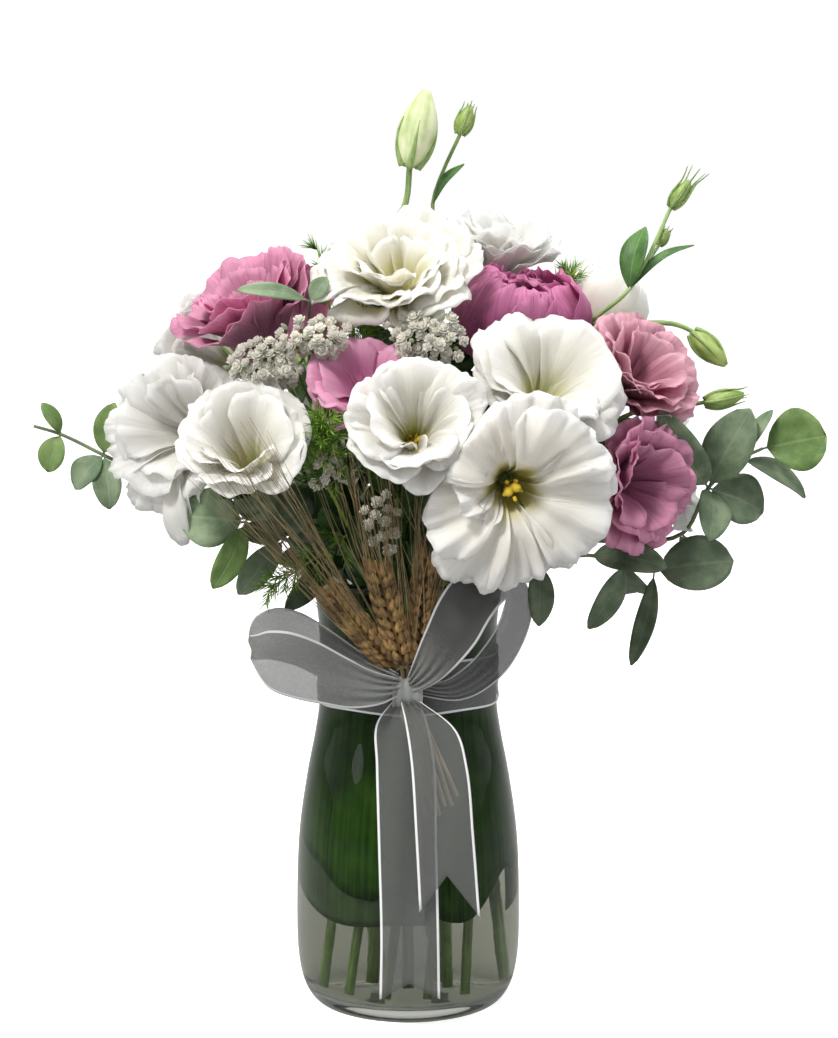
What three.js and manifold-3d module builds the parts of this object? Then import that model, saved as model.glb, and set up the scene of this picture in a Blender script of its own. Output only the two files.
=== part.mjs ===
// A round bouquet of lisianthus in a clear glass vase.
//
// The vase is a turned glass bottle with a soft belly and a narrow neck. Two broad leaves are wrapped
// round its inside, the cut stems stand in water, and a sheer ribbon ties three ears of bearded
// wheat to the front of the neck. Double white and pink lisianthus blooms, each on a branch of a
// green stem, are packed into a dome with baby's breath, fern plumes and silver-dollar eucalyptus.
//
// Units are millimetres, +Z is up, and -Y is the front. The origin is the centre of the vase's foot.

import * as THREE from "three";
import { mergeVertices } from "three/addons/utils/BufferGeometryUtils.js";
import Module from "manifold-3d";

const wasm = await Module();
wasm.setup();

// Driving dimensions
const VASE_HEIGHT = 215;
const BELLY_RADIUS = 55;
const GLASS = 2.8; // wall
const FOOT = 9; // glass under the water
const WATER_LEVEL = 120;
const RIBBON_WIDTH = 30;
const PETAL = 0.8; // thickness of a petal
const LEAF = 0.8; // thickness of a leaf
const STEM_RADIUS = 2; // a lisianthus stem
const SPRIG_RADIUS = 1.6; // a eucalyptus stem at its foot
const TWIG_RADIUS = 1; // a bud's stalk, a fern or a baby's breath stem
const GAP = 0.35; // between two pieces that touch
const ROUND = 20; // sides of the vase and what is turned with it

const LOOKS = {
  glass: { color: 0xdfe8e2, roughness: 0.05, metalness: 0, transparent: true, opacity: 0.35 },
  water: { color: 0xe6efe9, roughness: 0.02, metalness: 0, transparent: true, opacity: 0.4 },
  white_petal: { color: 0xf4f3ea, roughness: 0.6, metalness: 0 },
  pink_petal: { color: 0xc4679f, roughness: 0.6, metalness: 0 },
  stem_green: { color: 0x5f7c3f, roughness: 0.6, metalness: 0 },
  anther_yellow: { color: 0xd9a520, roughness: 0.7, metalness: 0 },
  liner_green: { color: 0x1f4a12, roughness: 0.4, metalness: 0 },
  eucalyptus_green: { color: 0x6f8a72, roughness: 0.6, metalness: 0 },
  fern_green: { color: 0x3f6a1c, roughness: 0.7, metalness: 0 },
  baby_breath: { color: 0xf0efdf, roughness: 0.8, metalness: 0 },
  straw: { color: 0xb08a55, roughness: 0.7, metalness: 0 },
  organza: { color: 0xe9eaee, roughness: 0.5, metalness: 0, transparent: true, opacity: 0.5 },
};

// Vectors

const at = (x, y, z) => new THREE.Vector3(x, y, z);
const vector = (p) => (p.isVector3 ? p.clone() : at(...p));
const mix = (a, b, t) => a + (b - a) * t;
const radians = (degrees) => (degrees * Math.PI) / 180;
const around = (degrees, radius, z) =>
  at(radius * Math.cos(radians(degrees)), radius * Math.sin(radians(degrees)), z);

// Solids

function solidOf(positions, triangles) {
  const geometry = new THREE.BufferGeometry();
  geometry.setAttribute("position", new THREE.Float32BufferAttribute(positions, 3));
  geometry.setIndex(triangles);
  return solidFrom(geometry);
}

function solidFrom(geometry) {
  const bare = geometry.clone();
  bare.deleteAttribute("normal");
  bare.deleteAttribute("uv");
  const merged = mergeVertices(bare, 1e-3);
  return new wasm.Manifold(
    new wasm.Mesh({
      numProp: 3,
      vertProperties: merged.attributes.position.array,
      triVerts: new Uint32Array(merged.index.array),
    }),
  );
}

const join = (solids) => wasm.Manifold.union(solids);

// The largest body of a solid: what a cut leaves loose is dropped.
function whole(solid) {
  const bodies = solid.decompose();
  return bodies.sort((a, b) => b.volume() - a.volume())[0];
}

// Triangles of the strip between two rows of points. A closed strip runs on to its first points.
function strip(rowA, rowB, closed = false) {
  const a = closed && rowA.length > 1 ? [...rowA, rowA[0]] : rowA;
  const b = closed && rowB.length > 1 ? [...rowB, rowB[0]] : rowB;
  const triangles = [];
  let i = 0;
  let j = 0;
  while (i + 1 < a.length || j + 1 < b.length) {
    const stepA = i + 1 < a.length ? (i + 1) / (a.length - 1) : Infinity;
    const stepB = j + 1 < b.length ? (j + 1) / (b.length - 1) : Infinity;
    if (stepA < stepB) triangles.push([a[i], a[++i], b[j]]);
    else triangles.push([a[i], b[j + 1], b[j++]]);
  }
  return triangles;
}

// Numbers the points of each row, one row after the other.
function numbered(rows) {
  let first = 0;
  return rows.map((row) => {
    const numbers = row.map((_, i) => first + i);
    first += row.length;
    return numbers;
  });
}

const flat = (points) => points.flatMap(({ x, y, z }) => [x, y, z]);

// A thin closed sheet round a surface of triangles, split alike on both faces.
function sheet(points, triangles, thickness) {
  const normals = points.map(() => at(0, 0, 0));
  for (const [a, b, c] of triangles) {
    const ab = points[b].clone().sub(points[a]);
    const face = ab.cross(points[c].clone().sub(points[a]));
    for (const k of [a, b, c]) normals[k].add(face);
  }
  for (const normal of normals) normal.setLength(thickness / 2);
  const front = points.map((p, k) => p.clone().add(normals[k]));
  const back = points.map((p, k) => p.clone().sub(normals[k]));
  const n = points.length;
  const edges = new Set(triangles.flatMap(([a, b, c]) => [`${a} ${b}`, `${b} ${c}`, `${c} ${a}`]));
  const faces = triangles.flatMap(([a, b, c]) => [a, b, c, c + n, b + n, a + n]);
  for (const edge of edges) {
    const [a, b] = edge.split(" ").map(Number);
    if (!edges.has(`${b} ${a}`)) faces.push(b, a, a + n, b, a + n, b + n);
  }
  return solidOf(flat([...front, ...back]), faces);
}

// A sheet whose surface is given as rows of points.
function blade(rows, thickness) {
  const numbers = numbered(rows);
  const triangles = numbers.slice(1).flatMap((row, i) => strip(numbers[i], row));
  return sheet(rows.flat(), triangles, thickness);
}

// A closed solid through rings of points, all turned the same way; a single point ends it in a tip.
function loft(rings) {
  const numbers = numbered(rings);
  const faces = numbers.slice(1).flatMap((ring, i) => strip(numbers[i], ring, true).flat());
  const [foot, tip] = [numbers[0], numbers[numbers.length - 1]];
  for (let k = 1; k + 1 < foot.length; k++) faces.push(foot[0], foot[k + 1], foot[k]);
  for (let k = 1; k + 1 < tip.length; k++) faces.push(tip[0], tip[k], tip[k + 1]);
  const solid = solidOf(flat(rings.flat()), faces);
  return solid.volume() > 0 ? solid : solidOf(flat(rings.flat()), faces.reverse());
}

// A ring of points round a middle, one for each radius, from a side at right angles to its axis.
function ring(middle, axis, side, radii) {
  const out = (k) => side.clone().applyAxisAngle(axis, (2 * Math.PI * k) / radii.length);
  return radii.map((radius, k) => middle.clone().addScaledVector(out(k), radius));
}

// Rings along a path, with a radius at each point; a radius of 0 gives a single point.
function ringsAlong(path, radii, sides, start) {
  const points = path.map(vector);
  const last = points.length - 1;
  let side = start ?? at(0.03, 0.02, 1);
  return points.map((p, i) => {
    const axis = points[Math.min(i + 1, last)].clone().sub(points[Math.max(i - 1, 0)]).normalize();
    side = side.clone().addScaledVector(axis, -side.dot(axis)).normalize();
    return radii[i] > 0 ? ring(p, axis, side, Array(sides).fill(radii[i])) : [p];
  });
}

const tube = (path, radii, sides = 5) => loft(ringsAlong(path, radii, sides));

// Points along a smooth curve through the given ones.
function smooth(points, steps) {
  return new THREE.CatmullRomCurve3(points.map(vector), false, "centripetal").getPoints(steps);
}

// A ring turned from a profile of [radius, height] pairs.
function turned(profile) {
  return solidFrom(
    new THREE.LatheGeometry(
      profile.map(([r, z]) => new THREE.Vector2(r, z)),
      ROUND,
    ).rotateX(Math.PI / 2),
  );
}

const bouquet = new THREE.Group();
const placed = {};

function place(name, solid, look) {
  const { numProp, vertProperties, triVerts } = solid.getMesh();
  const positions = [];
  for (let i = 0; i < vertProperties.length; i += numProp)
    positions.push(...vertProperties.subarray(i, i + 3));
  const geometry = new THREE.BufferGeometry();
  geometry.setAttribute("position", new THREE.Float32BufferAttribute(positions, 3));
  geometry.setIndex([...triVerts]);
  const mesh = new THREE.Mesh(geometry, new THREE.MeshStandardMaterial(LOOKS[look]));
  mesh.name = name;
  bouquet.add(mesh);
  placed[name] = solid;
}

// Vase

const OUTLINE = [
  [0, 39],
  [3, 46],
  [10, 51],
  [24, 54.3],
  [56, BELLY_RADIUS],
  [88, 53.6],
  [116, 49.6],
  [138, 45.4],
  [152, 43.5],
  [188, 43.5],
  [VASE_HEIGHT - 1.5, 46.5],
]; // height and outer radius
const LIP_RADIUS = 45.2; // of the middle of the lip's rounded edge
const INSIDE_HEIGHTS = [FOOT + 5, 50, 95, 148, 188, VASE_HEIGHT - 2];

function radiusOn(profile, z) {
  const k = Math.max(1, profile.findIndex(([height]) => height >= z));
  const [z0, r0] = profile[k - 1];
  const [z1, r1] = profile[k];
  return mix(r0, r1, (z - z0) / (z1 - z0));
}

const INSIDE = INSIDE_HEIGHTS.map((z) => [z, radiusOn(OUTLINE, z) - GLASS]);
const glassRadius = (z) => radiusOn(OUTLINE, z);
const innerRadius = (z) => radiusOn(INSIDE, z);
const FLOOR_RADIUS = innerRadius(FOOT + 5) - 6;

function vase() {
  const outside = OUTLINE.map(([z, r]) => [r, z]);
  const lip = [LIP_RADIUS, VASE_HEIGHT];
  const inside = INSIDE.map(([z, r]) => [r, z]).reverse();
  return turned([[0, 0], ...outside, lip, ...inside, [FLOOR_RADIUS, FOOT], [0, FOOT]]);
}

// Leaves wrapped round the inside of the glass, their tips down

const LINER_TOP = 204;
const LINER_TIP = 52; // height of the lowest tip
const LINER_NOTCH = 24; // depth of the notches between the tips
const LINER_TIPS = 3;
const LINER_ARC = 215; // degrees of the glass that each leaf covers
const LINER_INSET = [1.4, 3.9]; // from the glass, for the outer and the inner leaf
const LINER_COLUMNS = 10;

function linerLeaf(facing, inset) {
  const lowest = LINER_TIP + LINER_NOTCH;
  const bends = INSIDE_HEIGHTS.filter((z) => z > lowest && z < LINER_TOP).reverse();
  const rows = [LINER_TOP, ...bends, 0].map((level) =>
    Array.from({ length: LINER_COLUMNS }, (_, i) => {
      const u = i / (LINER_COLUMNS - 1);
      const notch = (0.5 - 0.5 * Math.cos(2 * Math.PI * LINER_TIPS * u)) * (0.4 + u * 0.6);
      const z = Math.max(LINER_TIP + LINER_NOTCH * notch, level);
      return around(facing + (u - 0.5) * LINER_ARC, innerRadius(z) - inset, z);
    }),
  );
  return blade(rows, LEAF);
}

// Blooms
//
// A bloom is a core and whorls of petals round its axis. The petals of a whorl are grown together in a
// funnel, turned from an arc that leaves the core steeply and bends outward. Past its middle they
// part, one edge of each lies over its neighbour, and the margin is waved.

const STEEP = radians(78); // slope of every petal where it leaves the core
const CORE_RADIUS = 1.6; // where the petals leave it
const CORE = [
  { h: 0.3, r: 1.2 },
  { h: 5, r: 2.4 },
  { h: 9, r: 0 },
];
const MARGIN = [74, -6]; // slope of the petals' margin on a bloom about to open and on a flat one
const WHORL_RISE = 3; // from the foot of one whorl to the next
const WHORL_STEEPER = 24; // degrees that the inner whorl's margin stands up more
const WHORL_SMALLER = 0.27; // share that the inner whorl is smaller
const LOBED_FROM = 0.52; // share of a petal's length where it parts from its neighbours
const LOBE_POINTS = [5, 4]; // along the margin of a petal, in the outer and the inner whorl
const LOBE_WIDTH = 1.3; // of the room that a petal has in its whorl
const LOBE_LIFT = 0.075; // share of the bloom's radius that one edge of a petal is raised by
const LOBE_WAVE = 0.035; // and that the margin waves by

const bloomOf = (centre, facing, radius, open, whorls, spin = 0) => ({
  centre: vector(centre),
  facing: vector(facing).normalize(),
  radius, // to the margin of the outer whorl, laid flat
  open, // from 0, a bud about to open, to 1, a flat bloom
  whorls, // petals in each whorl, from the outer one
  spin,
});

const BLOOMS = {
  bloom_front_right: bloomOf([50, -86, 268], [0.12, -1, -0.08], 46, 1, [6, 4], 0.3),
  bloom_front_centre: bloomOf([4, -85, 296], [0.05, -0.86, 0.5], 33, 0.6, [5, 3], 0.2),
  bloom_upper_right: bloomOf([64, -56, 317], [0.2, -0.72, 0.62], 40, 0.85, [5, 3], 0.9),
  bloom_top: bloomOf([-3.5, -36, 366], [-0.02, -0.55, 0.83], 39, 0.75, [5, 3], 0.1),
  bloom_top_rear: bloomOf([45, 16, 372], [0.2, 0.3, 0.93], 31, 0.7, [5, 2], 0.5),
  bloom_left: bloomOf([-108, -32, 286], [-0.75, -0.62, 0.15], 40, 0.85, [5, 4], 0.2),
  bloom_front_left: bloomOf([-72, -77, 288], [-0.05, -0.88, 0.46], 33, 0.6, [5, 3], 0.7),
  bloom_rear_right: bloomOf([96, 18, 348], [0.45, 0.1, 0.88], 23, 0.3, [4], 0.4),
  bloom_right_rear: bloomOf([124, 12, 268], [0.94, -0.1, 0.1], 34, 0.8, [5], 0.6),
  bloom_left_rear: bloomOf([-103, 16, 324], [-0.85, 0.2, 0.45], 30, 0.6, [5], 0.2),
  bloom_pink_upper_left: bloomOf([-72, -24, 346], [-0.4, -0.3, 0.86], 37, 0.6, [5, 3], 0.8),
  bloom_pink_centre: bloomOf([-22, -55, 317], [-0.1, -0.55, 0.82], 26, 0.6, [5, 2], 0.3),
  bloom_pink_top: bloomOf([53, -16, 346], [0.1, -0.2, 0.97], 34, 0.55, [5, 3], 0.2),
  bloom_pink_right: bloomOf([110, -30, 320], [0.5, -0.6, 0.6], 32, 0.65, [5, 3], 0.7),
  bloom_pink_lower_right: bloomOf([110, -46, 265], [0.62, -0.78, 0], 35, 0.75, [5, 3], 0.4),
  bloom_back_pink_left: bloomOf([-62, 62, 326], [-0.45, 0.7, 0.6], 36, 0.7, [5, 2], 0.5),
  bloom_back_white_top: bloomOf([-12, 32, 366], [-0.15, 0.45, 0.88], 35, 0.75, [5, 2], 0.3),
  bloom_back_pink_right: bloomOf([60, 66, 318], [0.45, 0.7, 0.55], 36, 0.7, [5, 2], 0.1),
  bloom_back_white_right: bloomOf([32, 84, 264], [0.25, 0.95, 0.1], 38, 0.85, [5, 3], 0.6),
  bloom_back_white_left: bloomOf([-46, 84, 266], [-0.4, 0.9, 0.15], 38, 0.85, [5, 3], 0.9),
};

const DEPTH_WEIGHT = 2.2; // blooms one behind the other part along Y before they part sideways
const CELL_EDGE = 8; // sharpness of the corners of a bloom's cell
const BASE_BEHIND = 0.72; // share of a bloom's depth that lies behind its centre
const SOFT_FROM = 0.7; // share of the way to a cell's edge where petals start to bend in
const NEIGHBOUR = 8; // blooms further apart than this have no wall between them

// The arc of one whorl's petals, from the core to the margin: radius, height and slope at each share.
function whorlArc(bloom, level) {
  const margin = radians(mix(...MARGIN, bloom.open) + WHORL_STEEPER * level);
  const radius = bloom.radius * (1 - WHORL_SMALLER * level);
  const bend = margin - STEEP;
  const length = ((radius - CORE_RADIUS) * bend) / (Math.sin(margin) - Math.sin(STEEP));
  return (share) => {
    const slope = STEEP + bend * share;
    return {
      r: CORE_RADIUS + (length * (Math.sin(slope) - Math.sin(STEEP))) / bend,
      h: WHORL_RISE * level - (length * (Math.cos(slope) - Math.cos(STEEP))) / bend,
      slope,
    };
  };
}

// Prepares a bloom's axis, base and the planes that part it from its neighbours.
for (const bloom of Object.values(BLOOMS)) {
  bloom.turn = new THREE.Quaternion().setFromUnitVectors(at(0, 0, 1), bloom.facing);
  bloom.depth = whorlArc(bloom, 0)(1).h;
  bloom.base = bloom.centre.clone().addScaledVector(bloom.facing, -BASE_BEHIND * bloom.depth);
  bloom.walls = [];
}

// How far a bloom reaches from its centre along a direction.
function reach(bloom, direction) {
  const along = direction.dot(bloom.facing);
  const depth = along > 0 ? 1.1 - BASE_BEHIND : BASE_BEHIND + 0.15;
  return bloom.radius * Math.sqrt(1 - along * along) + depth * bloom.depth * Math.abs(along);
}

for (const bloom of Object.values(BLOOMS))
  for (const other of Object.values(BLOOMS)) {
    if (other === bloom) continue;
    const between = other.centre.clone().sub(bloom.centre);
    const normal = at(between.x, between.y * DEPTH_WEIGHT, between.z).normalize();
    const apart = between.dot(normal);
    const mine = reach(bloom, normal);
    const theirs = reach(other, normal.clone().negate());
    if (mine + theirs + NEIGHBOUR < apart) continue;
    const distance = (apart * mine) / (mine + theirs) - PETAL / 2 - GAP;
    bloom.walls.push({ normal, distance });
  }

// Bends a point of a bloom clear of its neighbours: it nears the edge of the bloom's cell, but never
// crosses it.
function bentClear(bloom, point) {
  const out = point.clone().sub(bloom.centre);
  let sum = 0;
  for (const { normal, distance } of bloom.walls)
    sum += Math.max(0, out.dot(normal) / distance) ** CELL_EDGE;
  const share = sum ** (1 / CELL_EDGE);
  if (share <= SOFT_FROM) return point;
  const soft = SOFT_FROM + (1 - SOFT_FROM) * Math.tanh((share - SOFT_FROM) / (1 - SOFT_FROM));
  return bloom.centre.clone().addScaledVector(out, soft / share);
}

// A point of a bloom, at a radius and an angle round its axis and a height over its base.
function inBloom(bloom, r, angle, h) {
  const p = at(r * Math.cos(angle), r * Math.sin(angle), h);
  return bentClear(bloom, p.applyQuaternion(bloom.turn).add(bloom.base));
}

function whorl(bloom, level, count) {
  const arc = whorlArc(bloom, level);
  const onArc = (angle, share, lift) => {
    const { r, h, slope } = arc(share);
    return inBloom(bloom, r - lift * Math.sin(slope), angle, h + lift * Math.cos(slope));
  };
  const points = [inBloom(bloom, 0, 0, level * WHORL_RISE + 1)];
  const middleOf = (index) => (2 * Math.PI * (index + 0.5 * level)) / count + bloom.spin;
  const funnel = Array.from({ length: 2 * count }, (_, k) => k + 1);
  for (const k of funnel) points.push(onArc(middleOf((k - 2) / 2), LOBED_FROM, 0));
  const triangles = strip([0], funnel, true);
  for (let index = 0; index < count; index++) {
    const root = [2 * index, 2 * index + 1, 2 * index + 2].map((k) => funnel[k % funnel.length]);
    const margin = Array.from({ length: LOBE_POINTS[level] }, (_, k) => points.length + k);
    for (const k of margin.keys()) {
      const u = (2 * k) / (margin.length - 1) - 1;
      const angle = middleOf(index) + (u * LOBE_WIDTH * Math.PI) / count;
      const lift = LOBE_LIFT * u + LOBE_WAVE * Math.sin((2 * count + 1) * angle);
      points.push(onArc(angle, 1 - 0.13 * u * u, lift * bloom.radius));
    }
    triangles.push(...strip(root, margin));
  }
  return sheet(points, triangles, PETAL);
}

function bloomSolid(bloom) {
  const core = tube(
    CORE.map(({ h }) => inBloom(bloom, 0, 0, h)),
    CORE.map(({ r }) => r),
    4,
  );
  return whole(join([core, ...bloom.whorls.map((count, level) => whorl(bloom, level, count))]));
}

// Anthers round a stigma, seen in the throat of the wide-open blooms
const ANTHERS = 5;
const STIGMA = 22; // height of the stigma and of the anthers over the bloom's base

function anthers(bloom) {
  const foot = CORE[CORE.length - 1].h + GAP;
  const style = [foot, STIGMA - 3, STIGMA].map((h) => inBloom(bloom, 0, 0, h));
  const stamens = Array.from({ length: ANTHERS }, (_, k) => {
    const angle = (2 * Math.PI * k) / ANTHERS;
    const path = [[0, foot + 2], [3.4, STIGMA - 4], [4, STIGMA]];
    return tube(path.map(([r, h]) => inBloom(bloom, r, angle, h)), [0, 1.3, 0], 3);
  });
  return whole(join([tube(style, [1.2, 1.9, 0], 4), ...stamens]));
}

// Stems
//
// Each stem runs straight from its foot on the floor of the vase to its own place in the neck, all of a
// ring turned alike so that none crosses another. Above the neck it bends out and forks.

const NECK = 205;
const RING_HEIGHT = 12; // where the feet of a ring would meet the floor
const STEM_FOOT = 13;
const FOLIAGE_FOOT = 62;
const BRANCH_RADIUS = 1.5;
const CIRCLES = {
  outer: { slots: 12, radius: 29, foot: 35, turn: 46 },
  middle: { slots: 7, radius: 22, foot: 21.5, turn: 12 },
  inner: { slots: 7, radius: 14.5, foot: 14.5, turn: -34 },
  centre: { slots: 1, radius: 0, foot: 3, turn: 0 },
};

// From the foot of a stem, at a height, to its slot in the neck.
function inVase(circle, slot, footHeight) {
  const { slots, radius, foot, turn } = CIRCLES[circle];
  const angle = (360 * slot) / slots - 90;
  const low = around(angle - turn, foot, RING_HEIGHT);
  const high = around(angle, radius, NECK);
  const from = low.clone().lerp(high, (footHeight - RING_HEIGHT) / (NECK - RING_HEIGHT));
  return [from, high];
}

// A branch widens into the calyx under its bloom, a star of sepals along the underside of the petals.
const SEPALS = 5;
const SEPAL_TIP = { r: 10, h: 5 };
const SEPAL_NOTCH = { r: 2.4, h: -1.6 };

function branchTo(bloom, from) {
  const stalk = smooth([inBloom(bloom, 0, 0, -4), inBloom(bloom, 0, 0, -16), vector(from)], 3);
  const side = at(1, 0, 0).applyQuaternion(bloom.turn);
  const rings = ringsAlong(stalk, stalk.map(() => BRANCH_RADIUS), 4, side);
  // The rings run down the stalk, so the star is turned the same way.
  const star = Array.from({ length: 2 * SEPALS }, (_, k) => {
    const { r, h } = k % 2 ? SEPAL_NOTCH : SEPAL_TIP;
    return inBloom(bloom, r, (-Math.PI * k) / SEPALS, h);
  });
  return loft([[inBloom(bloom, 0, 0, -1.2)], star, ...rings]);
}

// A closed bud on its stalk, with sepals whose tips spread by a share of its width.
function bud({ path, tip, width, spread = 0.3 }) {
  const foot = vector(path[path.length - 1]);
  const crown = vector(tip);
  const axis = crown.clone().sub(foot);
  const along = (share) => foot.clone().addScaledVector(axis, share);
  const side = axis.clone().cross(at(0.1, 1, 0)).normalize();
  const body = [0.12, 0.45, 0.85, 1].map(along);
  const sepals = Array.from({ length: spread ? 3 : 0 }, (_, k) => {
    const out = side.clone().applyAxisAngle(axis.clone().normalize(), (2 * Math.PI * (k + 0.3)) / 3);
    const middle = along(0.4).addScaledVector(out, 0.6 * width + 0.5);
    const end = along(1.1).addScaledVector(out, width * (0.45 + spread));
    return tube([along(-0.02), middle, end], [0, 0.8, 0], 3);
  });
  const radii = [...path.map(() => TWIG_RADIUS), 0.32 * width, 0.5 * width, 0.24 * width, 0];
  return [tube([...path, ...body], radii), ...sepals];
}

// A leaf from its base to its tip, folded along the midrib and arched away from its upper side.
function leaf({ base, tip, width, up = [0, -0.6, 0.8], arch = 0.12 }) {
  const from = vector(base);
  const along = vector(tip).sub(from);
  const length = along.length();
  const side = along.clone().cross(vector(up)).normalize();
  const above = side.clone().cross(along).normalize();
  const point = (share, across) =>
    from
      .clone()
      .addScaledVector(along, share)
      .addScaledVector(side, across * width)
      .addScaledVector(above, length * arch * Math.sin(Math.PI * share) + 0.15 * Math.abs(across) * width);
  const row = (share, half) => [point(share, -half), point(share, 0), point(share, half)];
  return blade([[point(0, 0)], row(0.28, 0.46), row(0.72, 0.42), [point(1, 0)]], LEAF);
}

const TOP_FORK = [12, 2, 394];
const SIDE_FORK = [106, -12, 354];
const STEMS = {
  stem_front_right: {
    circle: "outer",
    slot: 1,
    fork: [28, -42, 238],
    blooms: ["bloom_front_right"],
    leaves: [{ base: [28, -42, 238], tip: [4, -62, 262], width: 17, up: [0.3, -0.8, 0.5] }],
  },
  stem_front_centre: {
    circle: "outer",
    slot: 0,
    fork: [-2, -38, 246],
    blooms: ["bloom_front_centre", "bloom_pink_centre"],
    leaves: [{ base: [-2, -38, 246], tip: [9, -56, 264], width: 16, up: [0, -0.8, 0.6] }],
  },
  stem_front_left: {
    circle: "outer",
    slot: 11,
    fork: [-34, -36, 240],
    blooms: ["bloom_front_left", "bloom_left"],
    leaves: [
      { base: [-34, -36, 240], tip: [-60, -30, 262], width: 18, up: [0, -0.8, 0.6] },
      { base: [-30, -33, 228], tip: [-49, -56, 212], width: 13, up: [0, -0.6, 0.8] },
    ],
  },
  stem_right: {
    circle: "outer",
    slot: 2,
    fork: [48, -16, 240],
    blooms: ["bloom_pink_lower_right", "bloom_pink_right"],
    buds: [{ path: [[104, -6, 292], [128, -13, 297], [142, -15, 300]], tip: [161, -16, 304], width: 9 }],
  },
  stem_top: {
    circle: "centre",
    slot: 0,
    fork: [-4, -4, 262],
    blooms: ["bloom_top"],
    buds: [
      {
        path: [[-27, 0, 330], [-20, 0, 374], [-2, -9, 392], [1, -9, 412]],
        tip: [9, -10, 448],
        width: 17,
        spread: 0,
      },
      { path: [[22, -6, 336], [16, 4, 376], TOP_FORK, [25, 2, 427]], tip: [30, 1, 441], width: 7.5 },
    ],
    leaves: [{ base: TOP_FORK, tip: [27, -1, 413], width: 6, up: [-0.6, -0.6, 0.5] }],
  },
  stem_upper_right: {
    circle: "inner",
    slot: 1,
    fork: [26, -12, 266],
    blooms: ["bloom_upper_right", "bloom_pink_top"],
  },
  stem_rear_right: {
    circle: "inner",
    slot: 2,
    fork: [44, 4, 262],
    blooms: ["bloom_rear_right"],
    buds: [
      { path: [[76, -10, 312], [86, -12, 336], SIDE_FORK, [127, 8, 392]], tip: [136, 9, 405], width: 8 },
      { from: SIDE_FORK, path: [[121, 5, 374]], tip: [125, 5, 382], width: 5.5, spread: 0.4 },
      {
        from: [86, -12, 336],
        path: [[127, -6, 337], [137, -5, 333]],
        tip: [153, -8, 317],
        width: 11,
        spread: 0,
      },
    ],
    leaves: [
      { base: SIDE_FORK, tip: [114, -2, 383], width: 14, up: [-0.5, -0.8, 0.3] },
      { base: SIDE_FORK, tip: [138, 6, 374], width: 6, up: [-0.3, -0.5, 0.8] },
    ],
  },
  stem_far_right: { circle: "outer", slot: 3, fork: [52, 6, 236], blooms: ["bloom_right_rear"] },
  stem_left: {
    circle: "outer",
    slot: 8,
    fork: [-44, 12, 254],
    blooms: ["bloom_pink_upper_left", "bloom_left_rear"],
    leaves: [{ base: [-44, 12, 254], tip: [-74, 14, 258], width: 18, up: [0, 0, 1] }],
  },
  stem_back_left: {
    circle: "outer",
    slot: 7,
    fork: [-26, 34, 246],
    blooms: ["bloom_back_pink_left", "bloom_back_white_left"],
    leaves: [{ base: [-26, 34, 246], tip: [-38, 58, 228], width: 17, up: [0, 0.6, 0.8] }],
  },
  stem_back_right: {
    circle: "outer",
    slot: 5,
    fork: [26, 34, 246],
    blooms: ["bloom_back_pink_right", "bloom_back_white_right"],
    leaves: [{ base: [26, 34, 246], tip: [50, 50, 232], width: 17, up: [0, 0.6, 0.8] }],
  },
  stem_top_rear: {
    circle: "inner",
    slot: 4,
    fork: [4, 16, 284],
    blooms: ["bloom_top_rear", "bloom_back_white_top"],
  },
};

function stemSolid({ circle, slot, fork, blooms, buds = [], leaves = [] }) {
  const path = [...inVase(circle, slot, STEM_FOOT), vector(fork)];
  const trunk = tube(path, path.map(() => STEM_RADIUS));
  const branches = blooms.map((name) => branchTo(BLOOMS[name], fork));
  const twigs = buds.map((one) => ({ ...one, path: [one.from ?? fork, ...one.path] }));
  return whole(join([trunk, ...branches, ...twigs.flatMap(bud), ...leaves.map(leaf)]));
}

// Eucalyptus
//
// Each leaf is given by the point of the sprig's path that it grows from, its tip and its width.

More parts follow.
